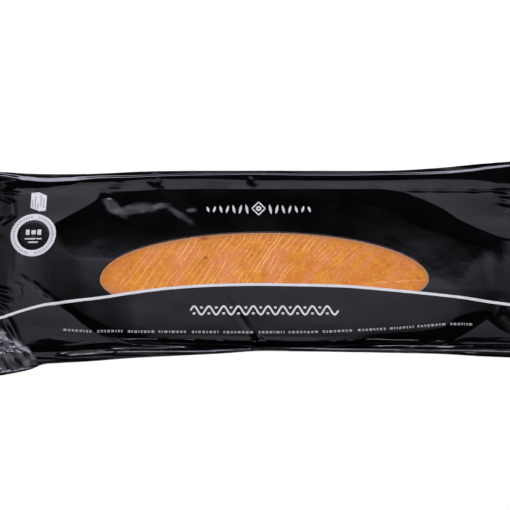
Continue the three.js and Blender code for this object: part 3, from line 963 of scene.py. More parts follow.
def make_object(name: str, parts: Sequence[Body]) -> bpy.types.Object:
    """Make one smooth-shaded object from closed bodies.

    Args:
        name: the object's name.
        parts: points and faces of each body.

    Returns:
        The object, linked to the scene.
    """
    points: list = []
    faces: list = []
    for part_points, part_faces in parts:
        faces += [[v + len(points) for v in face] for face in part_faces]
        points += part_points.tolist()
    mesh = bpy.data.meshes.new(name)
    mesh.from_pydata(points, [], faces)
    mesh.update()
    mesh.shade_smooth()
    return place_object(name, mesh)


def store(mesh: bpy.types.Mesh, name: str, values: Array) -> None:
    """Keep a number for each point of a mesh, for its material.

    Args:
        mesh: the mesh.
        name: the attribute's name.
        values: one value for each point.
    """
    attribute = mesh.attributes.new(name, "FLOAT", "POINT")
    attribute.data.foreach_set("value", values.astype(np.float32))


def dress(thing: bpy.types.Object, material: bpy.types.Material) -> None:
    """Give a piece its material, and let it ride on the pack.

    Args:
        thing: the piece.
        material: its finish.
    """
    thing.data.materials.clear()
    thing.data.materials.append(material)
    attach(thing, BODY)


# ---------------------------------------------------------------- finishes


@dataclass(frozen=True)
class Grain:
    """Noise in a finish: cell size and relief in millimetres, octaves and their roughness."""

    size: float
    height: float = 0.0
    detail: float = 2.0
    rough: float = 0.5

    def settings(self) -> dict[str, float]:
        """Return the settings of the noise node that makes it."""
        return {"Scale": 1 / (self.size * MM), "Detail": self.detail, "Roughness": self.rough}


def film_relief(
    tree: bpy.types.NodeTree, place: bpy.types.NodeSocket, layers: Sequence[Grain]
) -> bpy.types.Node:
    """Wire layers of fine relief on top of each other.

    Args:
        tree: the material's node tree.
        place: the object coordinates.
        layers: the grains, coarse ones first.

    Returns:
        The last bump node, whose output is the bent normal.
    """
    links: dict[str, Any] = {}
    for grain in layers:
        links["Height"] = add_node(tree, "ShaderNodeTexNoise", grain.settings(), {"Vector": place})
        settings = {"Strength": 1.0, "Distance": grain.height * MM}
        links["Normal"] = add_node(tree, "ShaderNodeBump", settings, links)
    return links["Normal"]


@dataclass(frozen=True)
class BlackLaminate:
    """Reverse-printed laminate pouch film: deep black under a clear gloss skin.

    The ink lies below a smooth outer skin, so the eye sees almost no body colour, only sharp
    reflections that bend with every fold, broken a little by orange peel from the fish beneath.
    Where the film is folded up hard it has gone whitish from straining, and its facets there are
    lightened further with painted highlights, most near the folded corner's back rim.
    """

    ink: str = "#030304"
    # whitish colour of strained film, also used as painted highlight on the folded corner's facets
    whitening_and_highlight: str = "#8f8d99"
    roughness: Point = (0.10, 0.18)
    ior: float = 1.5
    relief: tuple[Grain, ...] = (Grain(7.0, 0.036, 3.0, 0.45), Grain(2.4, 0.024, 2.0, 0.6))
    haze: Grain = Grain(38)

    def build(self) -> bpy.types.Material:
        """Wire the film: gloss relief, haze, and ink that whitens with strain and painted
        highlights.

        Returns:
            The material.
        """
        material, tree = new_material("black_laminate")
        place = add_node(tree, "ShaderNodeTexCoord").outputs["Object"]
        bump = film_relief(tree, place, self.relief)
        haze = add_node(tree, "ShaderNodeTexNoise", self.haze.settings(), {"Vector": place})
        smooth, rough = self.roughness
        gloss = add_node(
            tree,
            "ShaderNodeMapRange",
            {"From Min": 0.3, "From Max": 0.7, "To Min": smooth, "To Max": rough},
            {"Value": haze},
        )
        # crumpled share: strain whitening and painted highlights on the folded corner, haze on flat
        # patches
        folded = add_node(tree, "ShaderNodeAttribute", {"attribute_name": "crumpled"})
        body = add_node(
            tree,
            "ShaderNodeMix",
            {"data_type": "RGBA", 6: srgb(self.ink), 7: srgb(self.whitening_and_highlight)},
            {0: folded.outputs["Fac"]},
        )
        shader = add_node(
            tree,
            "ShaderNodeBsdfPrincipled",
            {"IOR": self.ior},
            {"Base Color": body.outputs[2], "Normal": bump, "Roughness": gloss},
        )
        add_node(tree, "ShaderNodeOutputMaterial", links={"Surface": shader})
        return material


@dataclass(frozen=True)
class ClearLaminate:
    """The same laminate where no ink is printed: only its gloss shows over the fish.

    It mirrors little where the eye looks straight down on it and more at a grazing angle.
    """

    roughness: float = 0.12
    head_on: float = 0.002
    edge_on: float = 0.3
    grazing_power: float = 5.0
    relief: tuple[Grain, ...] = (Grain(7.0, 0.035, 3.0, 0.45),)

    def build(self) -> bpy.types.Material:
        """Wire the clear film: a mirror share over plain transparency.

        Returns:
            The material.
        """
        material, tree = new_material("clear_laminate")
        place = add_node(tree, "ShaderNodeTexCoord").outputs["Object"]
        normal = {"Normal": film_relief(tree, place, self.relief)}
        gloss = add_node(tree, "ShaderNodeBsdfGlossy", {"Roughness": self.roughness}, normal)
        clear = add_node(tree, "ShaderNodeBsdfTransparent")
        facing = add_node(tree, "ShaderNodeLayerWeight", {"Blend": 0.5}, normal)
        grazing = add_node(
            tree,
            "ShaderNodeMath",
            {"operation": "POWER", 1: self.grazing_power},
            {0: facing.outputs["Facing"]},
        )
        share = add_node(
            tree,
            "ShaderNodeMath",
            {"operation": "MULTIPLY_ADD", 1: self.edge_on, 2: self.head_on},
            {0: grazing},
        )
        mixed = add_node(tree, "ShaderNodeMixShader", links={0: share, 1: clear, 2: gloss})
        add_node(tree, "ShaderNodeOutputMaterial", links={"Surface": mixed})
        return material


@dataclass(frozen=True)
class SmokedFlesh:
    """Cold-smoked salmon, sliced and laid back as a side.

    Orange flesh is mottled with deeper and more golden patches. Over it come broad pinker bands,
    pale fat lines that slant across, painted shade that darkens the flesh towards the window's
    edge, a pale greyish line just inside that edge and small brown smoke marks. The film holds it
    moist, so it hardly shines by itself.
    """

    flesh: str = "#c67c38"
    deep: str = "#ba6c2b"
    gold: str = "#cc8535"
    # fat also paints the slice-edge highlight, which is stored with the fat lines
    fat: str = "#e6ac74"
    pink: str = "#ca7d55"
    smoke: str = "#8e3f1a"
    # painted shade: the colour that darkens the flesh towards the window's edge (edge_shade)
    edge: str = "#95603c"
    # colour of the pale greyish line just inside the window's edge (edge_line)
    skin: str = "#a17f6d"
    golden_patch: Grain = Grain(11)
    deep_patch: Grain = Grain(4, detail=3.0, rough=0.65)
    mottle: Grain = Grain(2.6, rough=0.6)
    roughness: float = 0.6
    ior: float = 1.4
    specular: float = 0.05

    def build(self) -> bpy.types.Material:
        """Wire the flesh: layers of colour from deep to surface, then mottle.

        Returns:
            The material.
        """
        material, tree = new_material("smoked_flesh")
        place = {"Vector": add_node(tree, "ShaderNodeTexCoord").outputs["Object"]}
        shares = []
        for grain, low, high, least, most in (
            (self.deep_patch, 0.36, 0.64, 0.0, 1.0),
            (self.golden_patch, 0.42, 0.7, 0.0, 1.0),
            (self.mottle, 0.3, 0.7, 0.87, 1.1),
        ):
            field = add_node(tree, "ShaderNodeTexNoise", grain.settings(), place)
            reach = {"From Min": low, "From Max": high, "To Min": least, "To Max": most}
            shares.append(add_node(tree, "ShaderNodeMapRange", reach, {"Value": field}))
        mix = {"data_type": "RGBA", 6: srgb(self.deep), 7: srgb(self.flesh)}
        colour = add_node(tree, "ShaderNodeMix", mix, {0: shares[0]}).outputs[2]
        layers = [(shares[1], self.gold)]
        for name, code in (
            ("pink_band", self.pink), ("fat_line", self.fat), ("edge_shade", self.edge),
            ("edge_line", self.skin), ("smoke_mark", self.smoke),
        ):
            amount = add_node(tree, "ShaderNodeAttribute", {"attribute_name": name})
            layers.append((amount.outputs["Fac"], code))
        for share, code in layers:
            mix = {"data_type": "RGBA", 7: srgb(code)}
            colour = add_node(tree, "ShaderNodeMix", mix, {0: share, 6: colour}).outputs[2]
        shaded = add_node(
            tree, "ShaderNodeVectorMath", {"operation": "SCALE"}, {0: colour, "Scale": shares[2]}
        )
        shader = add_node(
            tree,
            "ShaderNodeBsdfPrincipled",
            {"Roughness": self.roughness, "IOR": self.ior, "Specular IOR Level": self.specular},
            {"Base Color": shaded},
        )
        add_node(tree, "ShaderNodeOutputMaterial", links={"Surface": shader})
        return material


@dataclass(frozen=True)
class PrintInk:
    """Opaque printing ink under the film's gloss skin: flat body colour with a wet-looking top.

    The colour thins a little from place to place, as printed ink does.
    """

    name: str = "pale_ink"
    colour: str = "#c9c8d1"
    roughness: float = 0.2
    ior: float = 1.5
    cloud: Grain = Grain(2.5)
    thinning: float = 0.9

    def build(self) -> bpy.types.Material:
        """Wire the ink: one colour that thins in small clouds.

        Returns:
            The material.
        """
        material, tree = new_material(self.name)
        place = add_node(tree, "ShaderNodeTexCoord").outputs["Object"]
        cloud = add_node(tree, "ShaderNodeTexNoise", self.cloud.settings(), {"Vector": place})
        full = srgb(self.colour)
        thin = tuple(self.thinning * c for c in full[:3]) + (1.0,)
        tone = add_node(
            tree, "ShaderNodeMix", {"data_type": "RGBA", 6: thin, 7: full}, {0: cloud}
        )
        shader = add_node(
            tree,
            "ShaderNodeBsdfPrincipled",
            {"Roughness": self.roughness, "IOR": self.ior},
            {"Base Color": tone.outputs[2]},
        )
        add_node(tree, "ShaderNodeOutputMaterial", links={"Surface": shader})
        return material


@dataclass(frozen=True)
class LabelPaper(PrintInk):
    """Coated label paper: matt white with a faint fibre cloudiness."""

    name: str = "label_paper"
    colour: str = "#cfcfd9"
    roughness: float = 0.6


class Ink(Enum):
    """The inks on the film and on the label."""

    PALE = PrintInk()
    FINE = PrintInk("fine_ink", "#8b8a92")
    GREY = PrintInk("grey_ink", "#8b8a96")
    BADGE_WHITE = PrintInk("badge_white", "#c9c8d2")
    BADGE_BLACK = PrintInk("badge_black", "#08080d", 0.42, 1.32)
    # BROWN is a painted glow of the fish's colour at the window's edge
    BROWN = PrintInk("brown_edge_glow", "#301508")
    LABEL_GREY = PrintInk("label_grey", "#9b9aa4", 0.5)


# ---------------------------------------------------------------- the pieces


@dataclass(frozen=True)
class WindowLens:
    """The clear window's outline: an ellipse whose lower part is cut off along the band."""

    plan: PackPlan
    columns: int = 560
    inset: float = 0.0
    tip: float = 0.03

    def grid(self, rows: int) -> tuple[Array, Array]:
        """Return x and y for each column and row, from the lower to the upper edge.

        Args:
            rows: number of steps from edge to edge.

        Returns:
            Places along and across the pack.
        """
        p = self.plan
        cx, cy = p.window_centre
        quarter = 0.5 * np.pi - self.tip
        turn = np.linspace(-quarter, quarter, self.columns + 1)
        x = cx + (p.window_half_length - self.inset) * np.sin(turn)
        upper = cy + (p.window_rise - self.inset) * np.cos(turn)
        band_top = p.band_line(x) + 0.5 * p.band_width + self.inset
        lower = np.maximum(cy - (p.window_drop - self.inset) * np.cos(turn), band_top)
        t = np.linspace(0, 1, rows + 1)
        y = lower[:, None] + (upper - lower)[:, None] * t[None, :]
        return across_rows(x, rows + 1), y


@dataclass(frozen=True)
class Pouch:
    """The black film with the board and the fish under it, open at the window.

    Rows of points follow the pack's own lines, and each strip between two lines has its number of
    rows. Every so many rows of the upper face, as skip says, the underside has one.
    """

    plan: PackPlan
    surface: FilmSurface
    stretches: tuple[float, ...] = (-310, -264, 264, 310)
    columns: tuple[int, ...] = (52, 480, 52)
    strips: tuple[int, ...] = (26, 14, 12, 36, 48, 32, 16, 16, 20, 8)
    front_strip: float = 8
    middle_lines: tuple[float, ...] = (26, 62, 76)
    skip: int = 4
    above_all: float = 40
    sharp_from: float = 44

    def rows(self, x: Array) -> Array:
        """Lay out rows that follow the pack's own lines.

        Args:
            x: places along the pack.

        Returns:
            Places across the pack, columns first.
        """
        p = self.plan
        front = p.board_front(x)
        lines = [
            p.front_edge(x), p.front_foot(x), front, front + self.front_strip, p.band_line(x),
            *(np.full(len(x), y) for y in self.middle_lines), p.back_top(x) - 0.5,
            self.surface.back_foot(x), p.back_edge(x),
        ]
        parts = []
        for low, high, count in zip(lines, lines[1:], self.strips):
            t = np.arange(count) / count
            parts.append(low[:, None] + (high - low)[:, None] * t[None, :])
        return np.concatenate(parts + [lines[-1][:, None]], axis=1)

    def cut_window(self, film: bpy.types.Object) -> bpy.types.Mesh:
        """Cut the window through the film's upper face, down to the board.

        Args:
            film: the film's whole body, which then gets the new mesh.

        Returns:
            The cut mesh.
        """
        x, y = WindowLens(self.plan).grid(1)
        above, below = np.full_like(y, self.above_all), np.full_like(y, self.plan.board_top)
        cutter = make_object("window_cutter", [sheet_part(x, y, above, below)])
        cut = film.modifiers.new("window", "BOOLEAN")
        cut.operation = "DIFFERENCE"
        cut.solver = "MANIFOLD"
        cut.object = cutter
        bpy.context.view_layer.update()
        graph = bpy.context.evaluated_depsgraph_get()
        mesh = bpy.data.meshes.new_from_object(film.evaluated_get(graph))
        film.modifiers.clear()
        film.data = mesh
        bpy.data.objects.remove(cutter)
        return mesh

    def build(self) -> bpy.types.Object:
        """Make the film body with the window cut through its upper face.

        Returns:
            The dressed film.
        """
        x = spread(self.stretches, self.columns)
        y = self.rows(x)
        x = across_rows(x, y.shape[1])
        top = self.surface.top(x, y)
        under = self.surface.underside(x[:, :: self.skip], y[:, :: self.skip])
        film = make_object("pouch_film", [sheet_part(x, y, top, under)])
        mesh = self.cut_window(film)
        mesh.shade_smooth()
        mesh.set_sharp_from_angle(angle=math.radians(self.sharp_from))
        place = np.zeros(3 * len(mesh.vertices))
        mesh.vertices.foreach_get("co", place)
        place = place.reshape(-1, 3) / MM
        # the crumpled share holds strain whitening and painted highlights
        store(mesh, "crumpled", self.surface.whitening_and_highlight(place[:, 0], place[:, 1]))
        dress(film, BlackLaminate().build())
        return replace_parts(film, "pouch")


@dataclass(frozen=True)
class FishSide:
    """The part of the sliced fish side that shows in the window.

    Lean is the slant of the slices in degrees and slice_width their width. Fat_shown says how much
    the fat lines show along the fish, and fat_above how much of that is left in its front half.
    Each smoke mark has its place, half length, half width and depth.
    """

    plan: PackPlan
    surface: FilmSurface
    inset: float = 0.3
    columns: int = 620
    rows: int = 96
    skip: int = 4
    gap: float = 0.45
    sharp_from: float = 50
    fat_height: float = 0.12
    mark_depth: float = 0.15
    lean_y: float = -30
    lean: Line = Line(((-170, 53), (-110, 55), (-60, 58), (10, 58), (50, 50), (90, 44), (190, 38)))
    slice_width: Line = Line(((-190, 9), (-120, 9), (-60, 6.5), (10, 6), (60, 5.4), (220, 5.6)))
    slice_sway: tuple[Swell, Swell] = (Swell(4.5, 26, 20, 11), Swell(1.8, 7, 7, 12))
    fat_breaks: Patches = Patches(13, 13, 13, 0.1, 0.55)
    fine_fat_breaks: Patches = Patches(17, 11, 17, 0.35, 0.4)
    fat_shown: Line = Line((
        (-170, 0.2), (-140, 0.5), (-100, 0.85), (60, 0.95), (95, 0.7), (125, 0.2), (190, 0.08),
    ))
    fat_above: Line = Line(((0, 1.0), (30, 0.9), (70, 0.35), (190, 0.3)))
    # painted highlight along a slice edge near the window's right tip: its breaks and half width
    slice_edge_highlight_breaks: Patches = Patches(5, 1, 29, 0.4, 0.2)
    slice_edge_highlight_half_width: float = 0.7
    smoke_marks: tuple[tuple[float, ...], ...] = (
        (-55.5, 21.8, 4, 2.2, 0.8), (-53.5, -1.5, 2.6, 2.2, 0.85), (-58, -6, 6, 3, 0.3),
        (177, -25, 2.4, 1.8, 0.6), (168, 2, 5, 2.6, 0.2), (112, 22, 6, 2.5, 0.2),
    )

    def phase(self, x: Array, y: Array) -> Array:
        """Number the slices along the fish.

        Args:
            x: places along the pack.
            y: places across the pack.

        Returns:
            The slice number at each place, which grows by 1 from one slice to the next.
        """
        up = y - self.lean_y
        across = x - up / np.tan(np.radians(self.lean(x - 0.35 * up)))
        ruler, step = np.linspace(-340, 340, 1361, retstep=True)
        count = np.concatenate([[0], np.cumsum(step / self.slice_width(ruler[1:]))])
        sway = self.slice_sway[0].relief(across, y) + self.slice_sway[1].relief(x, y)
        return np.interp(across + sway, ruler, count)

    def fat_lines(self, x: Array, y: Array, phase: Array) -> Array:
        """Return how strongly fat lines show at each place.

        Args:
            x: places along the pack.
            y: places across the pack.
            phase: the slice number there.

        Returns:
            Strength from 0 to 1: a broad line in each slice, and fine ones between.
        """
        number = np.floor(phase)
        middle = 0.5 + 0.4 * (lattice(number, 0.0, 41) - 0.5)
        width = 0.1 + 0.06 * lattice(number, 0.0, 42)
        strength = 0.36 + 0.5 * lattice(number, 0.0, 43)
        line = bell((phase - number - middle) / width) * strength
        second = phase * 1.9 + 0.3
        fine = 0.26 * bell((second - np.floor(second) - 0.5) / 0.16)
        fine = fine * self.fine_fat_breaks.share(x, y)
        level = self.fat_above(x)
        front = level + (1 - level) * ease((y + 22) / 24)
        return clamp01(self.fat_shown(x) * front * (line * self.fat_breaks.share(x, y) + fine))

    def slice_edge_highlight(self, x: Array, y: Array) -> Array:
        """Work out the painted highlight: a pale line along a slice edge beside the window's right
        tip.

        Args:
            x: places along the pack.
            y: places across the pack.

        Returns:
            How strongly it shows at each place.
        """
        middle = -30.8 + 0.078 * (x - 130) + 1.2 * (noise(x / 9, 0 * x, 27) - 0.5)
        line = bell((y - middle) / self.slice_edge_highlight_half_width) * self.slice_edge_highlight_breaks.share(x, 0 * x)
        return 0.55 * line * ease((x - 96) / 30) * ease((184 - x) / 8)

    def marks(self, x: Array, y: Array) -> Array:
        """Work out the smoke marks.

        Args:
            x: places along the pack.
            y: places across the pack.

        Returns:
            How brown each place is, from 0 to 1.
        """
        total = np.zeros_like(x)
        for mx, my, length, width, depth in self.smoke_marks:
            total += depth * np.exp(-(((x - mx) / length) ** 2 + ((y - my) / width) ** 2))
        return clamp01(total)

    def edge_distance(self, x: Array, y: Array) -> Array:
        """Measure how far places are from the window's curved edge.

        Args:
            x: places along the pack.
            y: places across the pack.

        Returns:
            Distances in millimetres.
        """
        p = self.plan
        side = np.where(y > p.window_centre[1], p.window_rise, p.window_drop)
        u = (x - p.window_centre[0]) / p.window_half_length
        v = (y - p.window_centre[1]) / side
        size = np.maximum(np.hypot(u, v), 1e-3)
        steep = np.hypot(u / p.window_half_length, v / side) / size
        return (1 - size) / np.maximum(steep, 1e-4)

    def build(self) -> bpy.types.Object:
        """Make the flesh, with its fat lines and marks stored for the material.

        Returns:
            The dressed flesh.
        """
        x, y = WindowLens(self.plan, self.columns, self.inset).grid(self.rows)
        phase = self.phase(x, y)
        # the fat share also carries the painted slice-edge highlight, drawn in the fat colour
        fat = np.maximum(self.fat_lines(x, y, phase), self.slice_edge_highlight(x, y))
        patches = noise(phase / 1.9, y / 24, 19) + 0.35 * (noise(x / 5, y / 5, 23) - 0.5)
        marks = self.marks(x, y)
        away = self.edge_distance(x, y)
        top = self.surface.top(x, y) - self.gap + self.fat_height * fat - self.mark_depth * marks
        under = np.full((len(x), self.rows // self.skip + 1), self.plan.board_top + self.inset)
        flesh = make_object("salmon_side", [sheet_part(x, y, top, under)])
        for name, upper in (
            ("fat_line", fat),
            ("pink_band", 0.62 * ease((patches - 0.45) / 0.35)),
            ("smoke_mark", marks),
            # painted shade: the flesh darkens within a few millimetres of the window's edge
            ("edge_shade", 0.85 * np.exp(-np.maximum(away, 0) / 4.2)),
            ("edge_line", 0.9 * bell((away - 0.5) / 1.1)),
        ):
            store(flesh.data, name, np.concatenate([upper.ravel(), np.zeros(under.size)]))
        flesh.data.set_sharp_from_angle(angle=math.radians(self.sharp_from))
        dress(flesh, SmokedFlesh().build())
        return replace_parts(flesh, "salmon")


@dataclass(frozen=True)
class WindowFilm:
    """The clear part of the laminate, level with the black film around it."""

    plan: PackPlan
    surface: FilmSurface
    inset: float = 0.02
    columns: int = 280
    rows: int = 44
    skip: int = 4
    thick: float = 0.15

    def build(self) -> bpy.types.Object:
        """Make the clear film.

        Returns:
            The dressed film.
        """
        x, y = WindowLens(self.plan, self.columns, self.inset).grid(self.rows)
        top = self.surface.top(x, y)
        under = top[:, :: self.skip] - self.thick
        film = make_object("window_film", [sheet_part(x, y, top, under)])
        dress(film, ClearLaminate().build())
        return film


@dataclass(frozen=True)
class Printer:
    """Lays ink on the finished film, in thin skins that follow it.

    The tree finds the film's height, and the surface knows it over the window too.
    """

    surface: FilmSurface
    tree: BVHTree
    rise: float = 0.10
    thick: float = 0.08

    def drape(self, x: Array, y: Array) -> Array:
        """Find the film's height, under the ink or the label.

        Args:
            x: places along the pack.
            y: places across the pack.

        Returns:
            Heights in millimetres.
        """
        out = np.zeros(x.size)
        down = Vector((0, 0, -1))
        for k, (px, py) in enumerate(zip(x.ravel(), y.ravel())):
            hit = self.tree.ray_cast(Vector((px * MM, py * MM, 0.1)), down)[0]
            out[k] = hit.z / MM if hit is not None else 0.0
        return np.maximum(out.reshape(x.shape), self.surface.top(x, y))

    def part(self, x: Array, y: Array, extra: float = 0.0) -> Body:
        """Return points and faces of a thin skin over a grid of places on the film."""
        top = self.drape(x, y) + self.rise + extra
        return sheet_part(x, y, top, top - self.thick)

    def stroke(self, x: Array, y: Array, width: Array | float, extra: float = 0.0) -> Body:
        """Return a printed stroke that follows a path.

        Args:
            x: the path's places along the pack.
            y: its places across the pack.
            width: the stroke's full width, or that at each point.
            extra: height above the usual print.

        Returns:
            Its points and faces.
        """
        path = np.stack([x, y], axis=1)
        run = np.gradient(path, axis=0)
        run /= np.maximum(np.hypot(run[:, 0], run[:, 1]), 1e-9)[:, None]
        side = np.stack([-run[:, 1], run[:, 0]], axis=1)
        widths = np.broadcast_to(width, len(path))[:, None] * np.array([-0.5, 0.0, 0.5])
        grid = path[:, None, :] + side[:, None, :] * widths[:, :, None]
        return self.part(grid[..., 0], grid[..., 1], extra)

    def finish(self, name: str, parts: Sequence[Body], ink: Ink) -> bpy.types.Object:
        """Make one dressed object of printed parts.

        Args:
            name: the piece's name.
            parts: points and faces of each part.
            ink: what it is printed with.

        Returns:
            The piece.
        """
        thing = make_object(name, parts)
        dress(thing, ink.value.build())
        return thing


@dataclass(frozen=True)
class Band:
    """The pale band that runs along the pack under the window, a little over its edge."""

    plan: PackPlan
    reach: float = 309
    columns: int = 412
    overlap: float = 0.45

    def build(self, printer: Printer) -> bpy.types.Object:
        """Print the band.

        Args:
            printer: what lays ink on the film.

        Returns:
            The band.
        """
        x = spread((-self.reach, self.reach), (self.columns,))
        half = 0.5 * self.plan.band_width
        middle = self.plan.band_line(x)
        y = np.stack([middle - half, middle, middle + half + self.overlap], axis=1)
        return printer.finish("printed_band", [printer.part(across_rows(x, 3), y)], Ink.PALE)


@dataclass(frozen=True)
class Badge:
    """The round badge: a pale ring with small marks, round a satin black middle with plain bars.

    Each bar has its left end, right end and middle line, from the badge's centre, and its height.
    A few marks are left out at the start of each half turn.
    """

    centre: Point = (-244.5, 29)
    inner: float = 17.8
    outer: float = 25.2
    steps: int = 121
    rows: int = 5
    marks: int = 46
    marks_left_out: int = 2
    mark_half_turn: float = 0.035
    mark_width: float = 2.2
    on_top: float = 0.06
    bars: tuple[tuple[float, float, float, float], ...] = (
        (-8.5, -4.5, 3.4, 6.5), (-2.5, 2.5, 3.4, 5.2), (4.0, 8.5, 3.4, 6.5),
        (-9.5, 9.5, -4.4, 1.6), (-5.5, 5.5, -8.4, 1.6),
    )

    def ring(self, printer: Printer, inner: float, outer: float) -> Body:
        """Print a ring, made of one sheet that closes on itself.

        Args:
            printer: what lays ink on the film.
            inner: its inner radius.
            outer: its outer radius.

        Returns:
            Its points and faces.
        """
        turn = np.linspace(0, -2 * np.pi, self.steps)[:, None]
        radius = np.linspace(inner, outer, self.rows)[None, :]
        x = self.centre[0] + radius * np.cos(turn)
        return printer.part(x, self.centre[1] + radius * np.sin(turn))

    def build(self, printer: Printer) -> list[bpy.types.Object]:
        """Print the badge.

        Args:
            printer: what lays ink on the film.

        Returns:
            Its middle, ring, marks and bars.
        """
        cx, cy = self.centre
        reach = 0.5 * (self.inner + self.outer)
        fan = np.array([self.mark_half_turn, 0.0, -self.mark_half_turn])
        marks = []
        for k in range(self.marks):
            if k % (self.marks // 2) >= self.marks_left_out:
                turn = np.radians(90 - 360 / self.marks * k) + fan
                x, y = cx + reach * np.cos(turn), cy + reach * np.sin(turn)
                marks.append(printer.stroke(x, y, self.mark_width, self.on_top))
        bars = []
        for left, right, y, high in self.bars:
            x = cx + np.linspace(left, right, 4)
            bars.append(printer.stroke(x, np.full(4, cy + y), high, self.on_top))
        middle = self.ring(printer, 0.05, self.inner)
        rim = self.ring(printer, self.inner, self.outer)
        return [
            printer.finish("badge_middle", [middle], Ink.BADGE_BLACK),
            printer.finish("badge_ring", [rim], Ink.BADGE_WHITE),
            printer.finish("badge_marks", marks, Ink.GREY),
            printer.finish("badge_bars", bars, Ink.PALE),
        ]


@dataclass(frozen=True)
class Emblem:
    """The ornament over the window: a lozenge in a lozenge, between two rows of leaves."""

    centre: Point = (4, 59)
    lozenges: tuple[Point, ...] = ((7.4, 1.5), (2.6, 2.0))
    lozenge_height: float = 1.1
    leaves: int = 7
    leaf_start: float = 13
    leaf_pitch: float = 7.2
    leaf_height: float = 12.5
    leaf_fall: float = 0.9
    leaf_lean: float = 2.4
    leaf_width: float = 2.9

    def build(self, printer: Printer) -> bpy.types.Object:
        """Print the ornament.

        Args:
            printer: what lays ink on the film.

        Returns:
            The ornament.
        """
        cx, cy = self.centre
        parts = []
        turn = np.linspace(0, 2 * np.pi, 5)
        for reach, width in self.lozenges:
            rise = self.lozenge_height * reach
            corners = np.stack([cx + reach * np.sin(turn), cy + rise * np.cos(turn)], axis=1)
            for start, end in zip(corners, corners[1:]):
                path = start + (end - start) * np.linspace(0, 1, 5)[:, None]
                parts.append(printer.stroke(*path.T, width))
        t = np.linspace(0.02, 0.98, 9)
        width = self.leaf_width * np.sin(np.pi * t) ** 0.7
        for side in (-1, 1):
            for k in range(self.leaves):
                reach = self.leaf_start + self.leaf_pitch * k
                lean = self.leaf_lean * (1 if k % 2 else -1)
                x = cx + side * (reach + lean * (t - 0.5) * side)
                y = cy - 1 + (self.leaf_height - self.leaf_fall * k) * (t - 0.5)
                parts.append(printer.stroke(x, y, width))
        return printer.finish("printed_emblem", parts, Ink.PALE)


@dataclass(frozen=True)
class Wave:
    """The wave ribbon under the window, with a dot in each hollow."""

    centre: Point = (10, -62)
    half: float = 79
    rise: float = 4.6
    pitch: float = 15.8
    columns: int = 260
    width: float = 2.1
    dot_half_length: float = 1.5
    dot_width: float = 2.4
    dot_place: float = 0.72

    def build(self, printer: Printer) -> bpy.types.Object:
        """Print the ribbon and its dots.

        Args:
            printer: what lays ink on the film.

        Returns:
            Both as one piece.
        """
        cx, cy = self.centre
        half, pitch = self.half, self.pitch
        x = np.linspace(-half, half, self.columns)
        y = cy + self.rise * np.sin(2 * np.pi * x / pitch)
        parts = [printer.stroke(cx + x, y, self.width)]
        for k in range(int(4 * half / pitch)):
            at = -half + pitch * (0.5 * k + 0.25) - (half % (0.5 * pitch))
            if abs(at) < half - 2:
                x = np.array([at - self.dot_half_length, at, at + self.dot_half_length])
                side = -np.sign(np.sin(2 * np.pi * at / pitch)) * self.dot_place * self.rise
                parts.append(printer.stroke(cx + x, np.full(3, cy + side), self.dot_width))
        return printer.finish("printed_wave", parts, Ink.PALE)


@dataclass(frozen=True)
class Dashes:
    """The fine line of dashes and dots along the front, in runs of eight."""

    left: float = -206
    right: float = 230
    line: Line = Line((
        (-206, -79.6), (-160, -82.5), (-120, -85), (50, -86), (115, -83.6), (160, -80.8),
        (192, -77.8), (232, -74.8),
    ))
    shortest: float = 1.3
    spread: float = 2.6
    gap: float = 1.3
    height: float = 2.5
    run: int = 9

    def build(self, printer: Printer) -> bpy.types.Object:
        """Print the dashes.

        Args:
            printer: what lays ink on the film.

        Returns:
            All of them as one piece.
        """
        parts = []
        at, k = self.left, 0
        while at < self.right:
            length = self.shortest + self.spread * float(lattice(k, 3.0, 51))
            if k % self.run != self.run - 1:
                x = np.linspace(at, at + length, 3)
                parts.append(printer.stroke(x, self.line(x), self.height))
            at += length + self.gap
            k += 1
        return printer.finish("printed_dashes", parts, Ink.FINE)


@dataclass(frozen=True)
class WindowEdge:
    """The thin brown line round the window, just past where the black ink ends: a painted glow
    of the fish's colour.
    """

    plan: PackPlan
    columns: int = 260
    past: float = 0.12
    outside: float = 0.5
    width: float = 1.2
    sunk: float = 0.04

    def build(self, printer: Printer) -> bpy.types.Object:
        """Lay the painted glow line on the film.

        Args:
            printer: what lays ink on the film.

        Returns:
            The line.
        """
        p = self.plan
        turn = np.linspace(-self.past, np.pi + self.past, self.columns)[::-1]
        side = np.where(np.sin(turn) > 0, p.window_rise, p.window_drop)
        x = p.window_centre[0] + (p.window_half_length + self.outside) * np.cos(turn)
        y = p.window_centre[1] + (side + self.outside) * np.sin(turn)
        return printer.finish(
            "window_edge", [printer.stroke(x, y, self.width, -self.sunk)], Ink.BROWN
        )


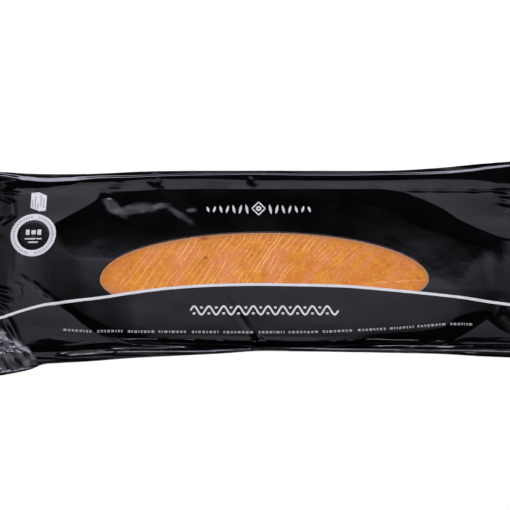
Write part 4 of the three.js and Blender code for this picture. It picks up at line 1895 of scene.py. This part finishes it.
@dataclass(frozen=True)
class PaperLabel:
    """The small paper label: six-cornered, with plain grey bars.

    Each edge of the label has a lower and an upper corner, and each bar a lower and an upper end.
    """

    edges: tuple[tuple[Point, Point], ...] = (
        ((-249.6, 61.2), (-249.4, 78.5)),
        ((-240.2, 57), (-241.2, 79.4)),
        ((-232.3, 57.6), (-231.9, 75.6)),
    )
    columns: int = 7
    rows: int = 9
    skip: int = 4
    gap: float = 0.3
    thick: float = 0.3
    bars: tuple[Point, ...] = ((62, 70), (60.5, 75), (60, 66), (62, 76), (61, 72))
    bar_start: float = -247.2
    bar_pitch: float = 3.0
    bar_width: float = 1.3
    bar_sunk: float = 0.02

    def grid(self) -> tuple[Array, Array]:
        """Lay out the label's grid between its three edges.

        Returns:
            Places along and across the pack.
        """
        t = np.linspace(0, 1, self.rows)[:, None]
        columns = []
        for k, (a, b) in enumerate(zip(self.edges, self.edges[1:])):
            for u in np.linspace(0, 1, self.columns)[: self.columns - 1 + k]:
                low = np.array(a[0]) * (1 - u) + np.array(b[0]) * u
                high = np.array(a[1]) * (1 - u) + np.array(b[1]) * u
                columns.append(low + (high - low) * t)
        grid = np.array(columns)
        return grid[..., 0], grid[..., 1]

    def build(self, printer: Printer) -> list[bpy.types.Object]:
        """Make the label and print its bars.

        Args:
            printer: what lays ink on the film.

        Returns:
            The label and the bars.
        """
        x, y = self.grid()
        top = printer.drape(x, y) + self.gap + self.thick
        under = top[:, :: self.skip] - self.thick
        label = make_object("paper_label", [sheet_part(x, y, top, under)])
        dress(label, LabelPaper().build())
        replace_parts(label, "label")
        raised = self.gap + self.thick - self.bar_sunk
        bars = [
            printer.stroke(
                np.full(self.rows, self.bar_start + self.bar_pitch * k),
                np.linspace(low, high, self.rows),
                self.bar_width,
                raised,
            )
            for k, (low, high) in enumerate(self.bars)
        ]
        return [label, printer.finish("label_bars", bars, Ink.LABEL_GREY)]


# ---------------------------------------------------------------- the studio


@dataclass(frozen=True)
class Panel:
    """A glowing panel that only shows as a reflection in gloss.

    A tilt of 0 faces it down and 90 stands it up. Its glow is given at places from 0 to 1 along its
    depth (stops) and its width (sides), as a share of its strength.
    """

    name: str
    size: Point
    place: tuple[float, float, float]
    tilt: float
    strength: float
    stops: Stops = ((0.0, 0.0), (0.2, 1.0), (0.8, 1.0), (1.0, 0.0))
    sides: Stops = ((0.0, 0.0), (0.14, 1.0), (0.86, 1.0), (1.0, 0.0))
    tint: str = "#ebebff"

    def glow(self) -> bpy.types.Material:
        """Wire the panel's light: its two ramps and its strength multiplied.

        Returns:
            The material.
        """
        material, tree = new_material(self.name)
        place = add_node(tree, "ShaderNodeTexCoord").outputs["Object"]
        axes = add_node(tree, "ShaderNodeSeparateXYZ", links={0: place})
        ramps = []
        for axis, size, stops in (("X", self.size[0], self.sides), ("Y", self.size[1], self.stops)):
            reach = {"From Min": -0.5 * size, "From Max": 0.5 * size}
            share = add_node(tree, "ShaderNodeMapRange", reach, {"Value": axes.outputs[axis]})
            ramps.append(add_node(tree, "ShaderNodeValToRGB", links={"Fac": share}))
            elements = ramps[-1].color_ramp.elements
            while len(elements) < len(stops):
                elements.new(0.5)
            for element, (at, level) in zip(elements, stops):
                element.position = at
                element.color = (level, level, level, 1)
        times = {"operation": "MULTIPLY"}
        both = add_node(tree, "ShaderNodeMath", times, {0: ramps[0], 1: ramps[1]})
        power = add_node(tree, "ShaderNodeMath", {**times, 1: self.strength}, {0: both})
        shader = add_node(
            tree, "ShaderNodeEmission", {"Color": srgb(self.tint)}, {"Strength": power}
        )
        add_node(tree, "ShaderNodeOutputMaterial", links={"Surface": shader})
        return material

    def build(self) -> bpy.types.Object:
        """Make the panel and let only gloss see it.

        Returns:
            The panel.
        """
        half_x, half_y = 0.5 * self.size[0], 0.5 * self.size[1]
        mesh = bpy.data.meshes.new(self.name)
        corners = [(-half_x, -half_y, 0), (-half_x, half_y, 0), (half_x, half_y, 0),
                   (half_x, -half_y, 0)]
        mesh.from_pydata(corners, [], [(0, 1, 2, 3)])
        mesh.materials.append(self.glow())
        panel = place_object(self.name, mesh)
        panel.location = self.place
        panel.rotation_euler = (math.radians(self.tilt), 0, 0)
        panel.visible_camera = False
        panel.visible_diffuse = False
        panel.visible_shadow = False
        return panel


@dataclass(frozen=True)
class Studio:
    """A white table, soft light and the camera, in metres and degrees.

    The overhead panel fades to dark over the back half, so that flat film mirrors darkness and
    film that slopes to the front mirrors light. The strips are what steep folds mirror.
    """

    elevation: float = 70.0
    distance: float = 1.3246
    target_y: float = 0.007
    lens: float = 85.0
    sensor: float = 36.0
    table_half: float = 1.6
    table_drop: float = 0.0002
    dome_radius: float = 12.0
    key_size: Point = (2.4, 2.0)
    key_place: tuple[float, float, float] = (0, 0.1, 1.9)
    key_watts: float = 62
    darkness: float = 0.004
    panel_reach: Point = (0.1, 1.4)
    panel_stops: Stops = (
        (0.10, 0.0), (0.25, 0.42), (0.305, 0.55), (0.34, 0.66), (0.42, 0.72), (0.60, 0.9),
        (0.67, 1.3), (0.71, 1.32), (0.74, 0.7), (0.775, 0.3), (0.81, 0.1), (0.85, 0.035),
        (1.0, 0.02), (1.1, 0.0), (1.2, 0.0),
    )
    panel_sides: Stops = (
        (0.0, 0.3), (0.3, 0.42), (0.365, 1.08), (0.43, 0.88), (0.5, 0.94), (0.56, 1.0),
        (0.62, 0.84), (0.7, 0.68), (0.76, 0.4), (1.0, 0.3),
    )

    def camera(self) -> None:
        """Set up the camera, looking down from the pack's front."""
        data = bpy.data.cameras.new("camera")
        data.lens = self.lens
        data.sensor_width = self.sensor
        camera = place_object("camera", data)
        lift = math.radians(self.elevation)
        back, up = self.distance * math.cos(lift), self.distance * math.sin(lift)
        camera.location = (0.0, self.target_y - back, up)
        camera.rotation_euler = (math.pi / 2 - lift, 0.0, 0.0)
        bpy.context.scene.camera = camera

    def table(self) -> None:
        """Set up the white table top, which is clear from below."""
        mesh = bpy.data.meshes.new("table_top")
        half = self.table_half
        corners = [(-half, -half, 0), (half, -half, 0), (half, half, 0), (-half, half, 0)]
        mesh.from_pydata(corners, [], [(0, 1, 2, 3)])
        table = place_object("table_top", mesh)
        table.location = (0, 0, -self.table_drop)
        material, tree = new_material("white_table")
        white = {"Base Color": srgb("#f2f2f2"), "Roughness": 0.7}
        shader = add_node(tree, "ShaderNodeBsdfPrincipled", white)
        below = add_node(tree, "ShaderNodeNewGeometry").outputs["Backfacing"]
        clear = add_node(tree, "ShaderNodeBsdfTransparent")
        mixed = add_node(tree, "ShaderNodeMixShader", links={0: below, 1: shader, 2: clear})
        add_node(tree, "ShaderNodeOutputMaterial", links={"Surface": mixed})
        mesh.materials.append(material)
        table.visible_glossy = False

    def backdrop(self) -> None:
        """Set up the pale dome round the studio, which nothing is lit by or mirrors."""
        mesh = bpy.data.meshes.new("backdrop")
        shell = bmesh.new()
        bmesh.ops.create_uvsphere(shell, u_segments=32, v_segments=16, radius=self.dome_radius)
        shell.to_mesh(mesh)
        shell.free()
        dome = place_object("backdrop", mesh)
        material, tree = new_material("pale_backdrop")
        glow = add_node(tree, "ShaderNodeEmission", {"Color": srgb("#f4f4f4"), "Strength": 1.0})
        add_node(tree, "ShaderNodeOutputMaterial", links={"Surface": glow})
        mesh.materials.append(material)
        dome.visible_glossy = False
        dome.visible_diffuse = False
        dome.visible_shadow = False

    def panels(self) -> None:
        """Set up the overhead panel and the low strips behind and in front."""
        low, high = self.panel_reach
        stops = [((at - low) / (high - low), share) for at, share in self.panel_stops]
        middle = (0, 0.5 * (low + high), 1.4)
        for panel in (
            Panel("overhead_panel", (3.8, high - low), middle, 0, 1.3, stops, self.panel_sides),
            Panel("back_strip", (2.6, 0.56), (0, 1.5, 0.5), 90, 8.5),
            Panel("front_strip", (2.6, 0.5), (0, -1.5, 0.6), 90, 9.0),
        ):
            panel.build()

    def key_light(self) -> None:
        """Set up the broad light that whitens the table and lights the fish."""
        data = bpy.data.lights.new("key_light", "AREA")
        data.shape = "RECTANGLE"
        data.size, data.size_y = self.key_size
        data.energy = self.key_watts
        light = place_object("key_light", data)
        light.location = self.key_place
        light.visible_glossy = False

    def build(self) -> None:
        """Set up the studio."""
        self.camera()
        self.table()
        self.backdrop()
        self.panels()
        self.key_light()
        world = bpy.data.worlds.new("dark_studio")
        world.use_nodes = True
        background = world.node_tree.nodes["Background"]
        background.inputs["Color"].default_value = (*[self.darkness] * 3, 1)
        bpy.context.scene.world = world
        bpy.context.scene.view_settings.view_transform = "Standard"


def main() -> None:
    """Build the studio and the pack, and report each piece's number of faces."""
    logging.basicConfig(level=logging.INFO, format="%(message)s")
    Studio().build()
    plan = PackPlan()
    surface = FilmSurface(plan)
    film = Pouch(plan, surface).build()
    pieces = [film, FishSide(plan, surface).build(), WindowFilm(plan, surface).build()]
    graph = bpy.context.evaluated_depsgraph_get()
    printer = Printer(surface, BVHTree.FromObject(film, graph))
    pieces.append(Band(plan).build(printer))
    pieces += Badge().build(printer)
    pieces.append(Emblem().build(printer))
    pieces.append(Wave().build(printer))
    pieces.append(Dashes().build(printer))
    pieces.append(WindowEdge(plan).build(printer))
    pieces += PaperLabel().build(printer)
    for piece in pieces:
        LOG.info("%s: %d faces", piece.name, len(piece.data.polygons))


if __name__ == "__main__":
    main()
